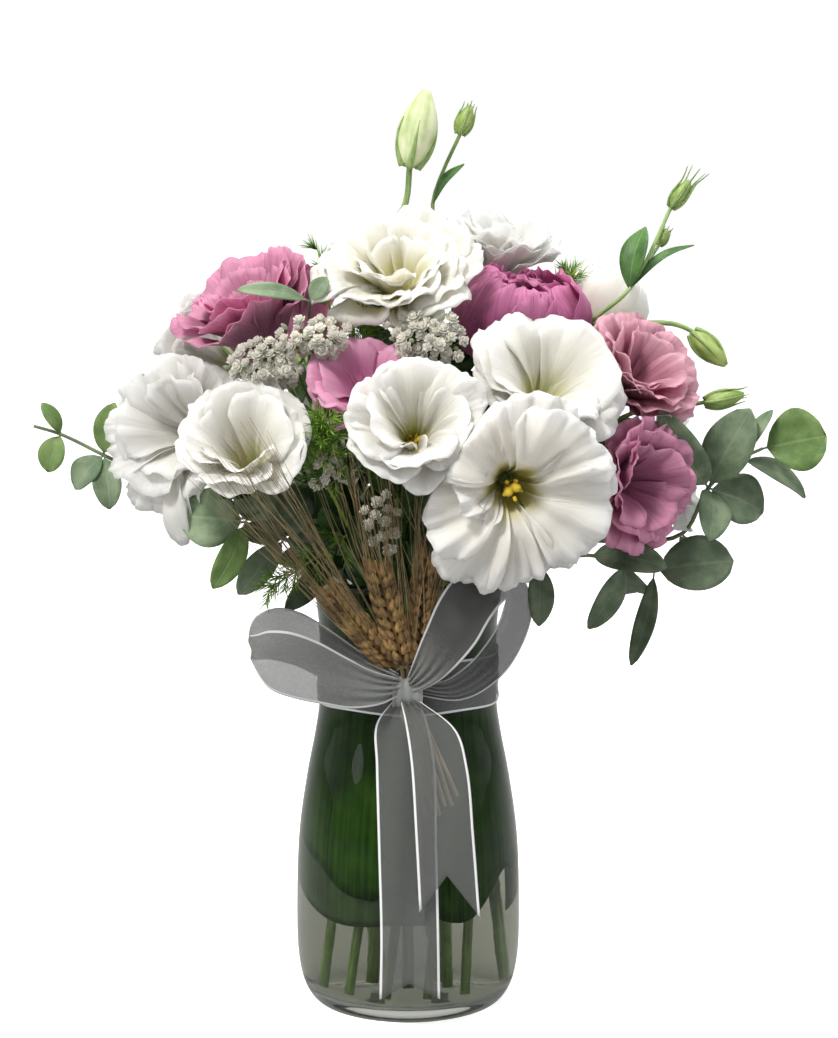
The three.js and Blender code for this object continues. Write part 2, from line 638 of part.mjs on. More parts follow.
const EUCALYPTUS = {
  eucalyptus_left: {
    circle: "outer",
    slot: 9,
    path: [
      [-44, 2, 232],
      [-90, 2, 250],
      [-124, -4, 262],
      [-146, -12, 274],
      [-167, -10, 284],
      [-180, -10, 288],
    ],
    leaves: [
      { from: 3, tip: [-140, -18, 300], width: 13 },
      { from: 3, tip: [-143, -20, 249], width: 14 },
      { from: 3, tip: [-160, -15, 258], width: 16 },
      { from: 4, tip: [-173, -13, 266], width: 14 },
      { from: 4, tip: [-176, -10, 299], width: 8 },
    ],
  },
  eucalyptus_lower_left: {
    circle: "outer",
    slot: 10,
    path: [[-40, -22, 222], [-58, -44, 238], [-76, -52, 247]],
    leaves: [
      { from: 2, tip: [-109, -54, 244], width: 27, up: [0, -1, 0.2] },
      { from: 2, tip: [-92, -62, 222], width: 17, up: [0.5, -0.8, 0.4] },
      { from: 1, tip: [-80, -47, 212], width: 14, up: [-0.4, -0.8, -0.3] },
      { from: 0, tip: [-58, -44, 204], width: 12, up: [0.3, -0.9, 0.2] },
    ],
  },
  eucalyptus_right: {
    circle: "outer",
    slot: 4,
    path: [
      [54, 22, 230],
      [100, 30, 226],
      [134, 2, 234],
      [145, -10, 258],
      [160, -12, 272],
      [171, -9, 277],
    ],
    leaves: [
      { from: 5, tip: [202, -6, 283], width: 31, up: [-0.2, -1, 0.2] },
      { from: 3, tip: [164, -17, 297], width: 24, up: [-0.2, -1, 0.2] },
      { from: 3, tip: [143, -36, 236], width: 18, up: [0.4, -0.9, 0.3] },
      { from: 3, tip: [172, -8, 246], width: 25, up: [0.2, -0.9, 0.3] },
      { from: 4, tip: [193, -2, 252], width: 14, up: [0.3, -0.6, 0.7] },
      { from: 4, tip: [175, -14, 296], width: 8, up: [-0.5, -0.8, 0.2] },
      { from: 2, tip: [140, 14, 206], width: 19, up: [0.6, 0.6, 0.2] },
    ],
  },
  eucalyptus_lower_right: {
    circle: "middle",
    slot: 1,
    path: [[36, -32, 220], [62, -38, 226], [86, -36, 229], [104, -30, 224], [118, -28, 220]],
    leaves: [
      { from: 4, tip: [157, -26, 232], width: 25, up: [-0.2, -0.95, 0.3] },
      { from: 4, tip: [107, -32, 175], width: 11, up: [-0.5, -0.8, 0.1], arch: -0.1 },
      { from: 3, tip: [86, -38, 194], width: 13, up: [0.3, -0.9, 0.1] },
      { from: 2, tip: [122, -48, 225], width: 17, up: [0.1, -0.9, 0.6] },
      { from: 1, tip: [62, -48, 197], width: 13, up: [0.2, -0.9, 0.1] },
      { from: 3, tip: [112, -4, 206], width: 17, up: [0.2, 0.6, -0.6] },
    ],
  },
  eucalyptus_back: {
    circle: "outer",
    slot: 6,
    path: [[-4, 48, 226], [-8, 86, 222], [-10, 112, 230], [-6, 126, 246]],
    leaves: [
      { from: 3, tip: [-2, 136, 276], width: 24, up: [0, 0.9, -0.3] },
      { from: 2, tip: [22, 126, 234], width: 22, up: [0, 0.9, 0.3] },
      { from: 2, tip: [-42, 122, 232], width: 22, up: [0, 0.9, 0.3] },
      { from: 1, tip: [18, 104, 208], width: 19, up: [0.3, 0.7, 0.5] },
      { from: 1, tip: [-34, 102, 206], width: 19, up: [-0.3, 0.7, 0.5] },
    ],
  },
};

function eucalyptusSolid({ circle, slot, path, leaves }) {
  const route = [...inVase(circle, slot, FOLIAGE_FOOT), ...path];
  const radii = route.map((_, i) => mix(SPRIG_RADIUS, 0.9, i / (route.length - 1)));
  const blades = leaves.map((one) => leaf({ ...one, base: path[one.from] }));
  return whole(join([tube(route, radii, 4), ...blades]));
}

// Wheat
//
// Each ear has two rows of grains up its rachis and ends in long bristles. The straws pass side by
// side between the ribbon's band and its knot, and lie down the front of the glass.

// A point in front of the glass, clear of it by some distance.
const onGlass = (x, z, clear) => at(x, -Math.sqrt((glassRadius(z) + clear) ** 2 - x * x), z);

const TIE = 166; // height of the knot
const STRAW = 1; // radius
const TIED_CLEAR = 2.6; // from the glass to the middle of a straw, over the ribbon's band
const GRAINS = 10; // in an ear
const BRISTLES = 4;
const BRISTLE_FAN = 30; // width of the fan at the bristles' ends
const WHEAT = {
  wheat_left: {
    tie: -2.7,
    foot: [9, 104],
    base: [-8, -50.5, 180],
    tip: [-39, -67, 219],
    lead: [-84, -128, 296],
  },
  wheat_middle: {
    tie: 0,
    foot: [15, 106],
    base: [-3, -53, 184],
    tip: [-15, -71, 232],
    lead: [-26, -99, 290],
  },
  wheat_right: {
    tie: 2.7,
    foot: [21, 110],
    base: [5.5, -50.5, 181],
    tip: [9.5, -61, 237],
    lead: [12, -86, 276],
  },
}; // x at the knot, x and z of the cut end, the ear's two ends and the point its bristles lead to

function wheatEar({ tie, foot, base, tip, lead }) {
  const from = vector(base);
  const to = vector(tip);
  const axis = to.clone().sub(from).normalize();
  const side = axis.clone().cross(at(0, 1, 0)).normalize();
  const depth = side.clone().cross(axis);
  const [footX, footZ] = foot;
  const straw = [
    onGlass(footX, footZ, STRAW + 0.6),
    onGlass(mix(footX, tie, 0.6), 142, STRAW + 0.6),
    onGlass(tie, TIE - 10, TIED_CLEAR),
    onGlass(tie, TIE + 10, TIED_CLEAR),
    from,
    to,
  ];
  const solids = [tube(straw, [STRAW, STRAW, STRAW, STRAW, 1.3, 1.1], 4)];
  for (let row = 0; row < GRAINS; row++) {
    const share = (row + 0.2) / GRAINS;
    const hand = row % 2 ? 1 : -1;
    const root = from.clone().lerp(to, share * 0.92);
    const plump = 4.3 - 0.9 * share;
    const belly = root.clone().addScaledVector(axis, 5).addScaledVector(side, hand * plump);
    const end = root.clone().addScaledVector(axis, 11).addScaledVector(side, hand * plump);
    solids.push(tube([root, belly, end], [0, 2.5, 0], 4));
  }
  for (let k = 0; k < BRISTLES; k++) {
    const share = (k + 0.5) / BRISTLES;
    const root = from.clone().lerp(to, 0.3 + 0.7 * share);
    const aim = vector(lead)
      .addScaledVector(side, BRISTLE_FAN * (share - 0.5))
      .addScaledVector(depth, 3 * Math.sin(k * 5));
    solids.push(tube([root, root.clone().lerp(aim, 0.88 + 0.12 * Math.sin(k * 3))], [0.6, 0], 3));
  }
  return whole(join(solids));
}

// Baby's breath: a forked stem with clusters of small double florets

const FLORET = 2.8; // radius
const FLORET_PETALS = 4;
const GOLDEN = radians(137.5); // turn from one of a cluster's or a plume's pieces to the next
const GYPSOPHILA = {
  gypsophila_left: {
    circle: "inner",
    slot: 6,
    path: [[-30, -24, 250], [-42, -34, 292], [-52, -48, 318]],
    clusters: [
      { from: 2, centre: [-66, -58, 324], spread: [16, 7, 11], count: 9 },
      { from: 2, centre: [-48, -61, 332], spread: [16, 7, 9], count: 8 },
      { from: 1, centre: [-38, -66, 274], spread: [7, 4, 5], count: 3 },
    ],
  },
  gypsophila_centre: {
    circle: "inner",
    slot: 0,
    path: [[-8, -30, 252], [8, -34, 296], [10, -44, 320]],
    clusters: [
      { from: 2, centre: [10, -58, 333], spread: [16, 6, 8], count: 8 },
      { from: 0, centre: [-12, -68, 250], spread: [9, 5, 10], count: 4 },
    ],
  },
};

// A floret on its pedicel, which widens to a star of petals drawn in to a low crown.
function floret(from, centre, facing, size, turn) {
  const axis = facing.clone().normalize();
  const side = axis.clone().cross(at(0.3, 0.2, 1)).normalize().applyAxisAngle(axis, turn);
  const star = Array.from({ length: 2 * FLORET_PETALS }, (_, k) => (k % 2 ? 0.6 * size : size));
  return loft([
    [from],
    ring(centre.clone().addScaledVector(axis, -0.7 * size), axis, side, [0.5, 0.5, 0.5]),
    ring(centre, axis, side, star),
    [centre.clone().addScaledVector(axis, 0.6 * size)],
  ]);
}

const clearOf = (solid, others) => others.every((other) => solid.intersect(other).isEmpty());

// Florets are spread evenly over the front of each cluster, and those with no room are left out.
function gypsophilaSolid({ circle, slot, path, clusters }, others) {
  const route = [...inVase(circle, slot, FOLIAGE_FOOT), ...path];
  const solids = [tube(route, route.map(() => TWIG_RADIUS), 4)];
  for (const { from, centre, spread, count } of clusters) {
    const root = vector(path[from]);
    const hub = root.clone().lerp(vector(centre), 0.76);
    solids.push(tube([root, hub, root.clone().lerp(vector(centre), 0.8)], [0.9, 0.9, 0], 4));
    for (let k = 0; k < count; k++) {
      const share = (k + 0.5) / count;
      const round = Math.sqrt(share);
      const out = at(round * Math.cos(k * GOLDEN), share - 1, round * Math.sin(k * GOLDEN));
      const head = vector(centre).add(out.clone().multiply(vector(spread)));
      const one = floret(hub, head, at(out.x, -1, out.z), FLORET * (0.9 + 0.25 * Math.sin(k * 5)), k);
      if (clearOf(one, others)) solids.push(one);
    }
  }
  return whole(join(solids));
}

// Fern plumes: a short rachis with needles all round it

const FERNS = {
  fern_left: {
    circle: "middle",
    slot: 6,
    path: [[-27, -37, 240], [-38, -54, 266]],
    plumes: [
      { path: [[-38, -54, 266], [-40, -67, 286], [-39, -76, 302]], needles: 14, length: 15 },
      { path: [[-27, -37, 240], [-48, -52, 227], [-64, -58, 217]], needles: 8, length: 11 },
    ],
  },
  fern_centre: {
    circle: "middle",
    slot: 0,
    path: [[-14, -34, 246], [-22, -24, 300]],
    plumes: [{ path: [[-22, -24, 300], [-22, -26, 334], [-20, -40, 347]], needles: 11, length: 11 }],
  },
  fern_right: {
    circle: "middle",
    slot: 3,
    path: [[34, 24, 256], [72, 22, 318]],
    plumes: [{ path: [[72, 22, 318], [76, 12, 348], [76, 4, 370]], needles: 11, length: 11 }],
  },
  fern_back: {
    circle: "middle",
    slot: 4,
    path: [[2, 40, 250], [-2, 62, 300]],
    plumes: [{ path: [[-2, 62, 300], [-2, 74, 322], [-4, 84, 344]], needles: 14, length: 16 }],
  },
};

function fernSolid({ circle, slot, path, plumes }, others) {
  const route = [...inVase(circle, slot, FOLIAGE_FOOT), ...path];
  const solids = [tube(route, route.map(() => TWIG_RADIUS), 4)];
  for (const plume of plumes) {
    const rachis = plume.path.map(vector);
    solids.push(tube(rachis, [1, 1, 0.7], 4));
    for (let k = 0; k < plume.needles; k++) {
      const share = (k + 1) / plume.needles;
      const place = share * (rachis.length - 1);
      const i = Math.min(Math.floor(place), rachis.length - 2);
      const root = rachis[i].clone().lerp(rachis[i + 1], place - i);
      const axis = rachis[i + 1].clone().sub(rachis[i]).normalize();
      const out = at(1, 0.2, 0.1).cross(axis).normalize().applyAxisAngle(axis, k * GOLDEN);
      const aim = out.addScaledVector(axis, 0.55 + 0.7 * share).normalize();
      const length = plume.length * (1.15 - 0.5 * share) * (1 + 0.15 * Math.sin(k * 3));
      const path = [0, 0.35, 1].map((part) => root.clone().addScaledVector(aim, part * length));
      const needle = tube(path, [0, 0.8, 0], 3);
      if (clearOf(needle, others)) solids.push(needle);
    }
  }
  return whole(join(solids));
}

// Ribbon
//
// A band of sheer ribbon goes round the neck, and a bow with two tails is tied over the straws.

const BAND_LOW = 153;
const BAND_HIGH = 178;
const RIBBON = 0.8; // thickness

function ribbonBand() {
  const inside = glassRadius(BAND_LOW) + GAP;
  const outside = inside + RIBBON;
  return turned([
    [inside, BAND_LOW],
    [outside, BAND_LOW],
    [outside, BAND_HIGH],
    [inside, BAND_HIGH],
    [inside, BAND_LOW],
  ]);
}

// A strip of ribbon through stations of a middle point, a direction across it and a width.
function ribbonStrip(stations) {
  const rows = stations.map(([middle, across, width]) =>
    [-0.5, 0.5].map((share) => vector(middle).addScaledVector(vector(across).normalize(), width * share)),
  );
  return blade(rows, RIBBON);
}

const KNOT_RADIUS = 4.4;
const KNOT = onGlass(0, TIE, TIED_CLEAR + STRAW + GAP + KNOT_RADIUS);
const LEFT_LOOP = [
  [[-2, -54.6, 167], [0.2, 0, 1], 7],
  [[-20, -62, 175], [0.3, 0, 1], 17],
  [[-42, -67, 183], [0.35, -0.1, 1], RIBBON_WIDTH],
  [[-66, -66, 188], [0.3, 0, 1], RIBBON_WIDTH + 2],
  [[-74, -60, 188], [0.2, 0, 1], RIBBON_WIDTH],
  [[-62, -54, 185], [0.2, 0, 1], RIBBON_WIDTH],
  [[-34, -52, 176], [0.3, 0.1, 1], 20],
  [[-2, -52.4, 165.6], [0.2, 0, 1], 7],
];
const RIGHT_LOOP = [
  [[2, -54.6, 167], [-0.8, 0, 0.6], 7],
  [[14, -62, 178], [-0.8, 0, 0.6], 18],
  [[28, -68, 193], [-0.8, -0.1, 0.55], RIBBON_WIDTH - 2],
  [[42, -69, 204], [-0.75, 0, 0.6], RIBBON_WIDTH],
  [[49, -62, 205], [-0.7, 0, 0.6], RIBBON_WIDTH],
  [[40, -55, 196], [-0.7, 0, 0.6], RIBBON_WIDTH - 2],
  [[22, -53, 180], [-0.65, 0, 0.7], 19],
  [[2, -52.4, 165.6], [-0.4, 0, 0.9], 7],
];
const LEFT_TAIL = [
  [[-1, -53, 164], [1, 0, 0.1], 7],
  [[-3, -54.4, 152], [1, 0, 0.1], 24],
  [[-1, -55.6, 132], [1, 0, 0], 28],
  [[0, -58, 92], [1, 0.05, 0], 28],
  [[1, -59.5, 50], [1, 0, 0], 28],
  [[1, -59, 20], [1, 0, 0], 29],
];
const RIGHT_TAIL = [
  [[1, -55, 163], [1, 0, -0.1], 7],
  [[11, -58, 150], [1, 0, -0.1], 24],
  [[15, -60.4, 132], [1, 0, -0.1], 27],
  [[17.5, -63, 100], [1, -0.05, -0.1], 28],
  [[20, -64, 64], [1, 0, -0.1], 29],
];

// A tail with a notch of some depth cut in its end.
function tail(stations, notch) {
  const [middle, across] = stations[stations.length - 1];
  const foot = vector(middle);
  const half = vector(across).normalize().multiplyScalar(RIBBON_WIDTH * 0.7);
  const below = foot.clone().add(at(0, 0, -4));
  const corners = [below.clone().sub(half), below.clone().add(half), foot.clone().add(at(0, 0, notch))];
  const through = at(0, 9, 0);
  const wedge = loft([
    corners.map((p) => p.clone().sub(through)),
    corners.map((p) => p.clone().add(through)),
  ]);
  return ribbonStrip(stations).subtract(wedge);
}

function bow() {
  const across = at(1, 0, 0.1);
  const knot = [-6.5, -3, 3, 6.5].map((x) => KNOT.clone().addScaledVector(across, x));
  return whole(
    join([
      tube(knot, [2.6, KNOT_RADIUS, KNOT_RADIUS, 2.6], 6),
      ribbonStrip(LEFT_LOOP),
      ribbonStrip(RIGHT_LOOP),
      tail(LEFT_TAIL, 10),
      tail(RIGHT_TAIL, 14),
    ]),
  );
}

// Water fills the vase inside the leaves, with a hole round each stem.
const CLEAR_GLASS = 0.7; // from the glass
const CLEAR_LEAVES = 1.5; // from the middle of the inner leaf
const CLEAR_STEMS = 0.8; // round a stem and under its foot

function water() {
  const low = FOOT + GAP;
  const step = LINER_TIP - 3;
  const body = turned([
    [0, low],
    [FLOOR_RADIUS - CLEAR_GLASS, low],
    ...[FOOT + 5, step].map((z) => [innerRadius(z) - CLEAR_GLASS, z]),
    ...[step, 95, WATER_LEVEL].map((z) => [innerRadius(z) - LINER_INSET[1] - CLEAR_LEAVES, z]),
    [0, WATER_LEVEL],
  ]);
  const bore = (foot, radius) => ({ circle, slot }) => {
    const path = inVase(circle, slot, foot - CLEAR_STEMS);
    return tube(path, path.map(() => radius + CLEAR_STEMS));
  };
  const sprays = [EUCALYPTUS, GYPSOPHILA, FERNS].flatMap(Object.values);
  const bores = [
    ...Object.values(STEMS).map(bore(STEM_FOOT, STEM_RADIUS)),
    ...sprays.map(bore(FOLIAGE_FOOT, SPRIG_RADIUS)),
  ];
  return whole(body.subtract(join(bores)));
}

// Putting it together

place("vase", vase(), "glass");
place("liner_leaf_front", linerLeaf(-100, LINER_INSET[0]), "liner_green");
place("liner_leaf_back", linerLeaf(80, LINER_INSET[1]), "liner_green");
place("water", water(), "water");

for (const [name, stem] of Object.entries(STEMS)) place(name, stemSolid(stem), "stem_green");
for (const [name, sprig] of Object.entries(EUCALYPTUS))
  place(name, eucalyptusSolid(sprig), "eucalyptus_green");
for (const [name, bloom] of Object.entries(BLOOMS))
  place(name, bloomSolid(bloom), name.includes("pink") ? "pink_petal" : "white_petal");
for (const name of ["front_right", "front_centre"])
  place(`anthers_${name}`, anthers(BLOOMS[`bloom_${name}`]), "anther_yellow");
for (const [name, ear] of Object.entries(WHEAT)) place(name, wheatEar(ear), "straw");
place("ribbon_band", ribbonBand(), "organza");
place("ribbon_bow", bow(), "organza");

// Fern and baby's breath fill the room that is left.
for (const [name, fern] of Object.entries(FERNS))
  place(name, fernSolid(fern, Object.values(placed)), "fern_green");
for (const [name, spray] of Object.entries(GYPSOPHILA))
  place(name, gypsophilaSolid(spray, Object.values(placed)), "baby_breath");

export default bouquet;
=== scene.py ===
import math
import random

import bpy
import numpy as np
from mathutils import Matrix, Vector, noise


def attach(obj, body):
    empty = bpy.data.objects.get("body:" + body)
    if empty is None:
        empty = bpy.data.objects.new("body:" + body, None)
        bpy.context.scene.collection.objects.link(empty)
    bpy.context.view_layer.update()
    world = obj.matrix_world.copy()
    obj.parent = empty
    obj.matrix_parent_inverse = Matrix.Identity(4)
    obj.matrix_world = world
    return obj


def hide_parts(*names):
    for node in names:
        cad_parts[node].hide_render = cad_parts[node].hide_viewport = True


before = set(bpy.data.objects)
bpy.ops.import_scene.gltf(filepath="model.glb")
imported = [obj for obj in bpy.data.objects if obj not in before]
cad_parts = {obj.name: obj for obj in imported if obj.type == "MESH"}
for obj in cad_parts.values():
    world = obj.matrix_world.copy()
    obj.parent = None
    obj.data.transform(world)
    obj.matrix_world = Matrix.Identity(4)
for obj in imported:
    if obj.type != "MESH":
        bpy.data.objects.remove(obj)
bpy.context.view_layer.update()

# The studio: a pale floor, soft light from above and the left, and the camera at the height of a
# person who looks a little down on the bouquet. The sizes below are in metres here, and in
# millimetres in all the sections that make the bouquet.
scene = bpy.context.scene
scene.view_settings.view_transform = "Standard"

LOOK_AT = Vector((0.0054, 0.0, 0.2414))
EYE_DISTANCE = 1.4
EYE_ABOVE = math.radians(8)


def place_object(name, data):
    made = bpy.data.objects.new(name, data)
    scene.collection.objects.link(made)
    return made


camera = place_object("camera", bpy.data.cameras.new("camera"))
camera.data.lens = 99.7
camera.data.sensor_width = 36
camera.location = LOOK_AT + EYE_DISTANCE * Vector((0, -math.cos(EYE_ABOVE), math.sin(EYE_ABOVE)))
camera.rotation_euler = (math.pi / 2 - EYE_ABOVE, 0, 0)
scene.camera = camera


def soft_light(name, place, aim, size, watts, colour):
    lamp = place_object(name, bpy.data.lights.new(name, "AREA"))
    lamp.data.shape = "DISK"
    lamp.data.size = size
    lamp.data.energy = watts
    lamp.data.color = colour
    lamp.location = place
    lamp.rotation_euler = (Vector(aim) - Vector(place)).to_track_quat("-Z", "Y").to_euler()
    lamp.visible_transmission = False


soft_light("key_light", (-0.75, -1.2, 2.0), (0, 0, 0.28), 0.5, 40, (1.0, 0.98, 0.94))
soft_light("left_light", (-1.5, -0.8, 0.7), (-0.1, 0, 0.3), 0.9, 6, (1.0, 0.99, 0.96))
soft_light("top_light", (0.2, 0.3, 2.0), (0, 0, 0.3), 1.0, 24, (1.0, 0.99, 0.97))
soft_light("side_light", (1.7, -0.5, 0.9), (0, 0, 0.25), 1.2, 8, (0.97, 0.98, 1.0))


def put(tree, kind, sockets=None, **settings):
    """A new node with its settings, whose sockets hold values or take other nodes' outputs."""
    made = tree.nodes.new(kind)
    for name, value in settings.items():
        setattr(made, name, value)
    for name, value in (sockets or {}).items():
        if isinstance(value, bpy.types.NodeSocket):
            tree.links.new(value, made.inputs[name])
        else:
            made.inputs[name].default_value = value
    return made


def speckle(tree, scale, detail, **place):
    """Noise from 0 to 1, finer with a greater scale."""
    return put(tree, "ShaderNodeTexNoise", {"Scale": scale, "Detail": detail, **place}).outputs["Fac"]


def ramp(tree, value, low, high):
    """From low to high while the value goes from 0 to 1."""
    sockets = {"Value": value, "To Min": low, "To Max": high}
    return put(tree, "ShaderNodeMapRange", sockets).outputs["Result"]


def new_material(name):
    material = bpy.data.materials.new(name)
    material.use_nodes = True
    material.node_tree.nodes.clear()
    return material, material.node_tree


def finish_material(tree, sockets, through=None, glow=0.5):
    """The surface of a material. Where it lets light through, a share of it glows from behind."""
    surface = put(tree, "ShaderNodeBsdfPrincipled", sockets)
    if through:
        lit = put(tree, "ShaderNodeBsdfTranslucent", through)
        surface = put(tree, "ShaderNodeMixShader", {0: glow, 1: surface.outputs[0], 2: lit.outputs[0]})
    put(tree, "ShaderNodeOutputMaterial", {"Surface": surface.outputs[0]})


world = bpy.data.worlds.new("studio")
world.use_nodes = True
tree = world.node_tree
tree.nodes.clear()
seen = put(tree, "ShaderNodeLightPath").outputs["Is Camera Ray"]
way = put(tree, "ShaderNodeTexCoord").outputs["Generated"]
depth = put(tree, "ShaderNodeSeparateXYZ", {0: way}).outputs["Y"]
# The side of the room behind the camera is dim, so the glass stays clear and dark things stay dark.
dimmer = {"Value": depth, "From Min": -0.9, "From Max": 0.3, "To Min": 0.42, "To Max": 0.8}
strength = put(tree, "ShaderNodeMapRange", dimmer).outputs["Result"]
room = put(tree, "ShaderNodeBackground", {"Color": (0.98, 0.985, 1, 1), "Strength": strength})
backdrop = put(tree, "ShaderNodeBackground", {"Color": (1, 1, 1, 1), "Strength": 1.0})
sky = put(tree, "ShaderNodeMixShader", {0: seen, 1: room.outputs[0], 2: backdrop.outputs[0]})
put(tree, "ShaderNodeOutputWorld", {"Surface": sky.outputs[0]})
scene.world = world

HALF_FLOOR = 8
floor_mesh = bpy.data.meshes.new("floor")
corners = [(x * HALF_FLOOR, y * HALF_FLOOR, 0) for x, y in ((-1, -1), (1, -1), (1, 1), (-1, 1))]
floor_mesh.from_pydata(corners, [], [(0, 1, 2, 3)])
floor = place_object("floor", floor_mesh)
# To the camera the paper is white; the bouquet and its glass see it dimmer, as in a room.
paper, tree = new_material("pale_paper")
direct = put(tree, "ShaderNodeLightPath").outputs["Is Camera Ray"]
white = ramp(tree, speckle(tree, 300.0, 3.0), 0.93, 0.96)
finish_material(tree, {
    "Base Color": ramp(tree, direct, 0.33, white),
    "Roughness": 0.9,
    "Emission Color": (1, 1, 1, 1),
    "Emission Strength": ramp(tree, direct, 0.07, 0.5),
})
floor_mesh.materials.append(paper)

# The vase is clear blown glass, turned in one piece: a thick foot, a soft belly, a narrow neck and a
# rim that flares to a rounded lip. The glass is a little uneven, as blown glass is.
VASE_HEIGHT = 215
GLASS = 2.8
FOOT = 9
OUTLINE = [
    (0, 39), (3, 46), (10, 51), (24, 54.3), (56, 55), (88, 53.6),
    (116, 49.6), (138, 45.4), (152, 43.5), (188, 43.5), (213.5, 46.5),
]
INSIDE_HEIGHTS = [FOOT + 5, 50, 95, 148, 188, VASE_HEIGHT - 2]
LIP_RADIUS = 45.2
TURNED_SIDES = 128


def smooth(points, steps):
    """Points on a smooth curve through the given ones, at even steps from each to the next."""
    p = np.asarray(points, float)
    p = np.vstack([2 * p[0] - p[1], p, 2 * p[-1] - p[-2]])
    gap = np.maximum(np.linalg.norm(np.diff(p, axis=0), axis=1) ** 0.5, 1e-6)
    out = []
    for i in range(1, len(p) - 2):
        a, b, c = gap[i - 1], gap[i], gap[i + 1]
        into = (p[i] - p[i - 1]) / a - (p[i + 1] - p[i - 1]) / (a + b) + (p[i + 1] - p[i]) / b
        away = (p[i + 1] - p[i]) / b - (p[i + 2] - p[i]) / (b + c) + (p[i + 2] - p[i + 1]) / c
        into, away = into * b, away * b
        t = np.linspace(0, 1, steps + 1)[:-1, None]
        out.append(
            p[i] + into * t
            + (-3 * p[i] + 3 * p[i + 1] - 2 * into - away) * t**2
            + (2 * p[i] - 2 * p[i + 1] + into + away) * t**3
        )
    return np.vstack([*out, p[-2:-1]])


def radius_on(profile, z):
    heights, radii = zip(*profile)
    return np.interp(z, heights, radii)


def glass_radius(z):
    return radius_on(OUTLINE, z)


inner_wall = smooth([(z, glass_radius(z) - GLASS) for z in INSIDE_HEIGHTS], 8)


def inner_radius(z):
    return radius_on(inner_wall, z)


FLOOR_RADIUS = float(inner_radius(FOOT + 5)) - 6


def grid_faces(rows, columns, around=False):
    """Quads between the rows of a grid of points. With around, each row runs on to its own start."""
    r, c = np.meshgrid(np.arange(rows - 1), np.arange(columns - (not around)), indexing="ij")
    here, below = r.ravel() * columns, (r.ravel() + 1) * columns
    c, d = c.ravel(), (c.ravel() + 1) % columns
    return np.stack([here + c, here + d, below + d, below + c], 1).tolist()


def closed_rings(rings, ends, shares):
    """A closed form from rings of as many points each, with a point at each of its two ends."""
    count, sides = rings.shape[:2]
    n = count * sides
    faces = grid_faces(count, sides, around=True)
    for k in range(sides):
        faces.append([n, (k + 1) % sides, k])
        faces.append([n + 1, n - sides + k, n - sides + (k + 1) % sides])
    uv = np.stack(np.meshgrid(np.arange(sides) / sides, shares), -1).reshape(-1, 2)
    return np.vstack([rings.reshape(-1, 3), *ends]), faces, np.vstack([uv, [0, 0], [0, 1]])


def turn_round(profile):
    """A closed form turned round the Z axis. The profile runs from the axis to the axis."""
    r, z = np.array(profile[1:-1], float).T[..., None]
    angle = np.arange(TURNED_SIDES) * 2 * np.pi / TURNED_SIDES
    rings = np.stack([r * np.cos(angle), r * np.sin(angle), z + 0 * angle], -1)
    ends = [(0, 0, profile[0][1]), (0, 0, profile[-1][1])]
    return closed_rings(rings, ends, np.linspace(0, 1, len(rings)))


def add_piece(name, parts, material, nodes, tones=None):
    """One piece of the bouquet from its parts, each with its points in millimetres, faces and UVs.
    A tone from 0 to 1 for each part lets a material vary from one part to the next."""
    counts = [len(p[0]) for p in parts]
    starts = np.cumsum([0, *counts[:-1]])
    points = np.vstack([p[0] for p in parts]) * 0.001
    faces = [[v + start for v in face] for p, start in zip(parts, starts) for face in p[1]]
    uv = np.vstack([p[2] for p in parts])
    mesh = bpy.data.meshes.new(name)
    mesh.from_pydata(points.tolist(), [], faces)
    corners = np.empty(len(mesh.loops), int)
    mesh.loops.foreach_get("vertex_index", corners)
    mesh.uv_layers.new(name="UVMap").data.foreach_set("uv", uv[corners].astype(np.float32).ravel())
    if tones is not None:
        tone = mesh.attributes.new("tone", "FLOAT", "POINT")
        tone.data.foreach_set("value", np.repeat(np.asarray(tones, np.float32), counts))
    mesh.polygons.foreach_set("use_smooth", [True] * len(mesh.polygons))
    mesh.materials.append(material)
    mesh.validate()
    piece = place_object(name, mesh)
    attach(piece, "root")
    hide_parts(*nodes)
    return piece


def bump(tree, height, strength, distance):
    sockets = {"Height": height, "Strength": strength, "Distance": distance}
    return put(tree, "ShaderNodeBump", sockets).outputs["Normal"]


def clear_material(name, ripple, film, haze, shadow, look):
    """Glass or water with faint ripples and a thin film, whose shadow is as light as the real one's."""
    material, tree = new_material(name)
    surface = put(tree, "ShaderNodeBsdfPrincipled", {
        **look,
        "Roughness": ramp(tree, speckle(tree, *film), 0.0, haze),
        "Transmission Weight": 1.0,
        "Normal": bump(tree, speckle(tree, *ripple), 0.03, 0.001),
    })
    path = put(tree, "ShaderNodeLightPath").outputs["Is Shadow Ray"]
    clear = put(tree, "ShaderNodeBsdfTransparent", {"Color": shadow})
    either = put(tree, "ShaderNodeMixShader", {0: path, 1: surface.outputs[0], 2: clear.outputs[0]})
    put(tree, "ShaderNodeOutputMaterial", {"Surface": either.outputs[0]})
    return material


# The glass's grey-green tint is far darker than clear glass: it is painted shade over all that is seen
# through the vase.
clear_glass = clear_material(
    "clear_glass", (14.0, 0.0), (90.0, 3.0), 0.012, (0.93, 0.95, 0.94, 1),
    {"Base Color": (0.6, 0.61, 0.545, 1), "Specular Tint": (0.25, 0.25, 0.25, 1), "IOR": 1.5},
)

outer = smooth([(z, r) for z, r in OUTLINE], 6)
outer[:, 0] = np.maximum(outer[:, 0], 0)
profile = [(0, 0), (20, 0), (34, 0)]
profile += [(r, z) for z, r in outer]
profile += [(46.3, 214.4), (LIP_RADIUS, VASE_HEIGHT), (44.1, 214.5)]
profile += [(r, z) for z, r in inner_wall[::-1]]
profile += [(FLOOR_RADIUS + 2.6, FOOT + 2), (FLOOR_RADIUS - 3, FOOT + 0.3), (24, FOOT), (0, FOOT)]
add_piece("vase_glass", [turn_round(profile)], clear_glass, ["vase"])

# Clean water stands in the vase to a little above its middle. It wets the glass all round and climbs
# a millimetre or so where it meets it.
WATER_LEVEL = 120

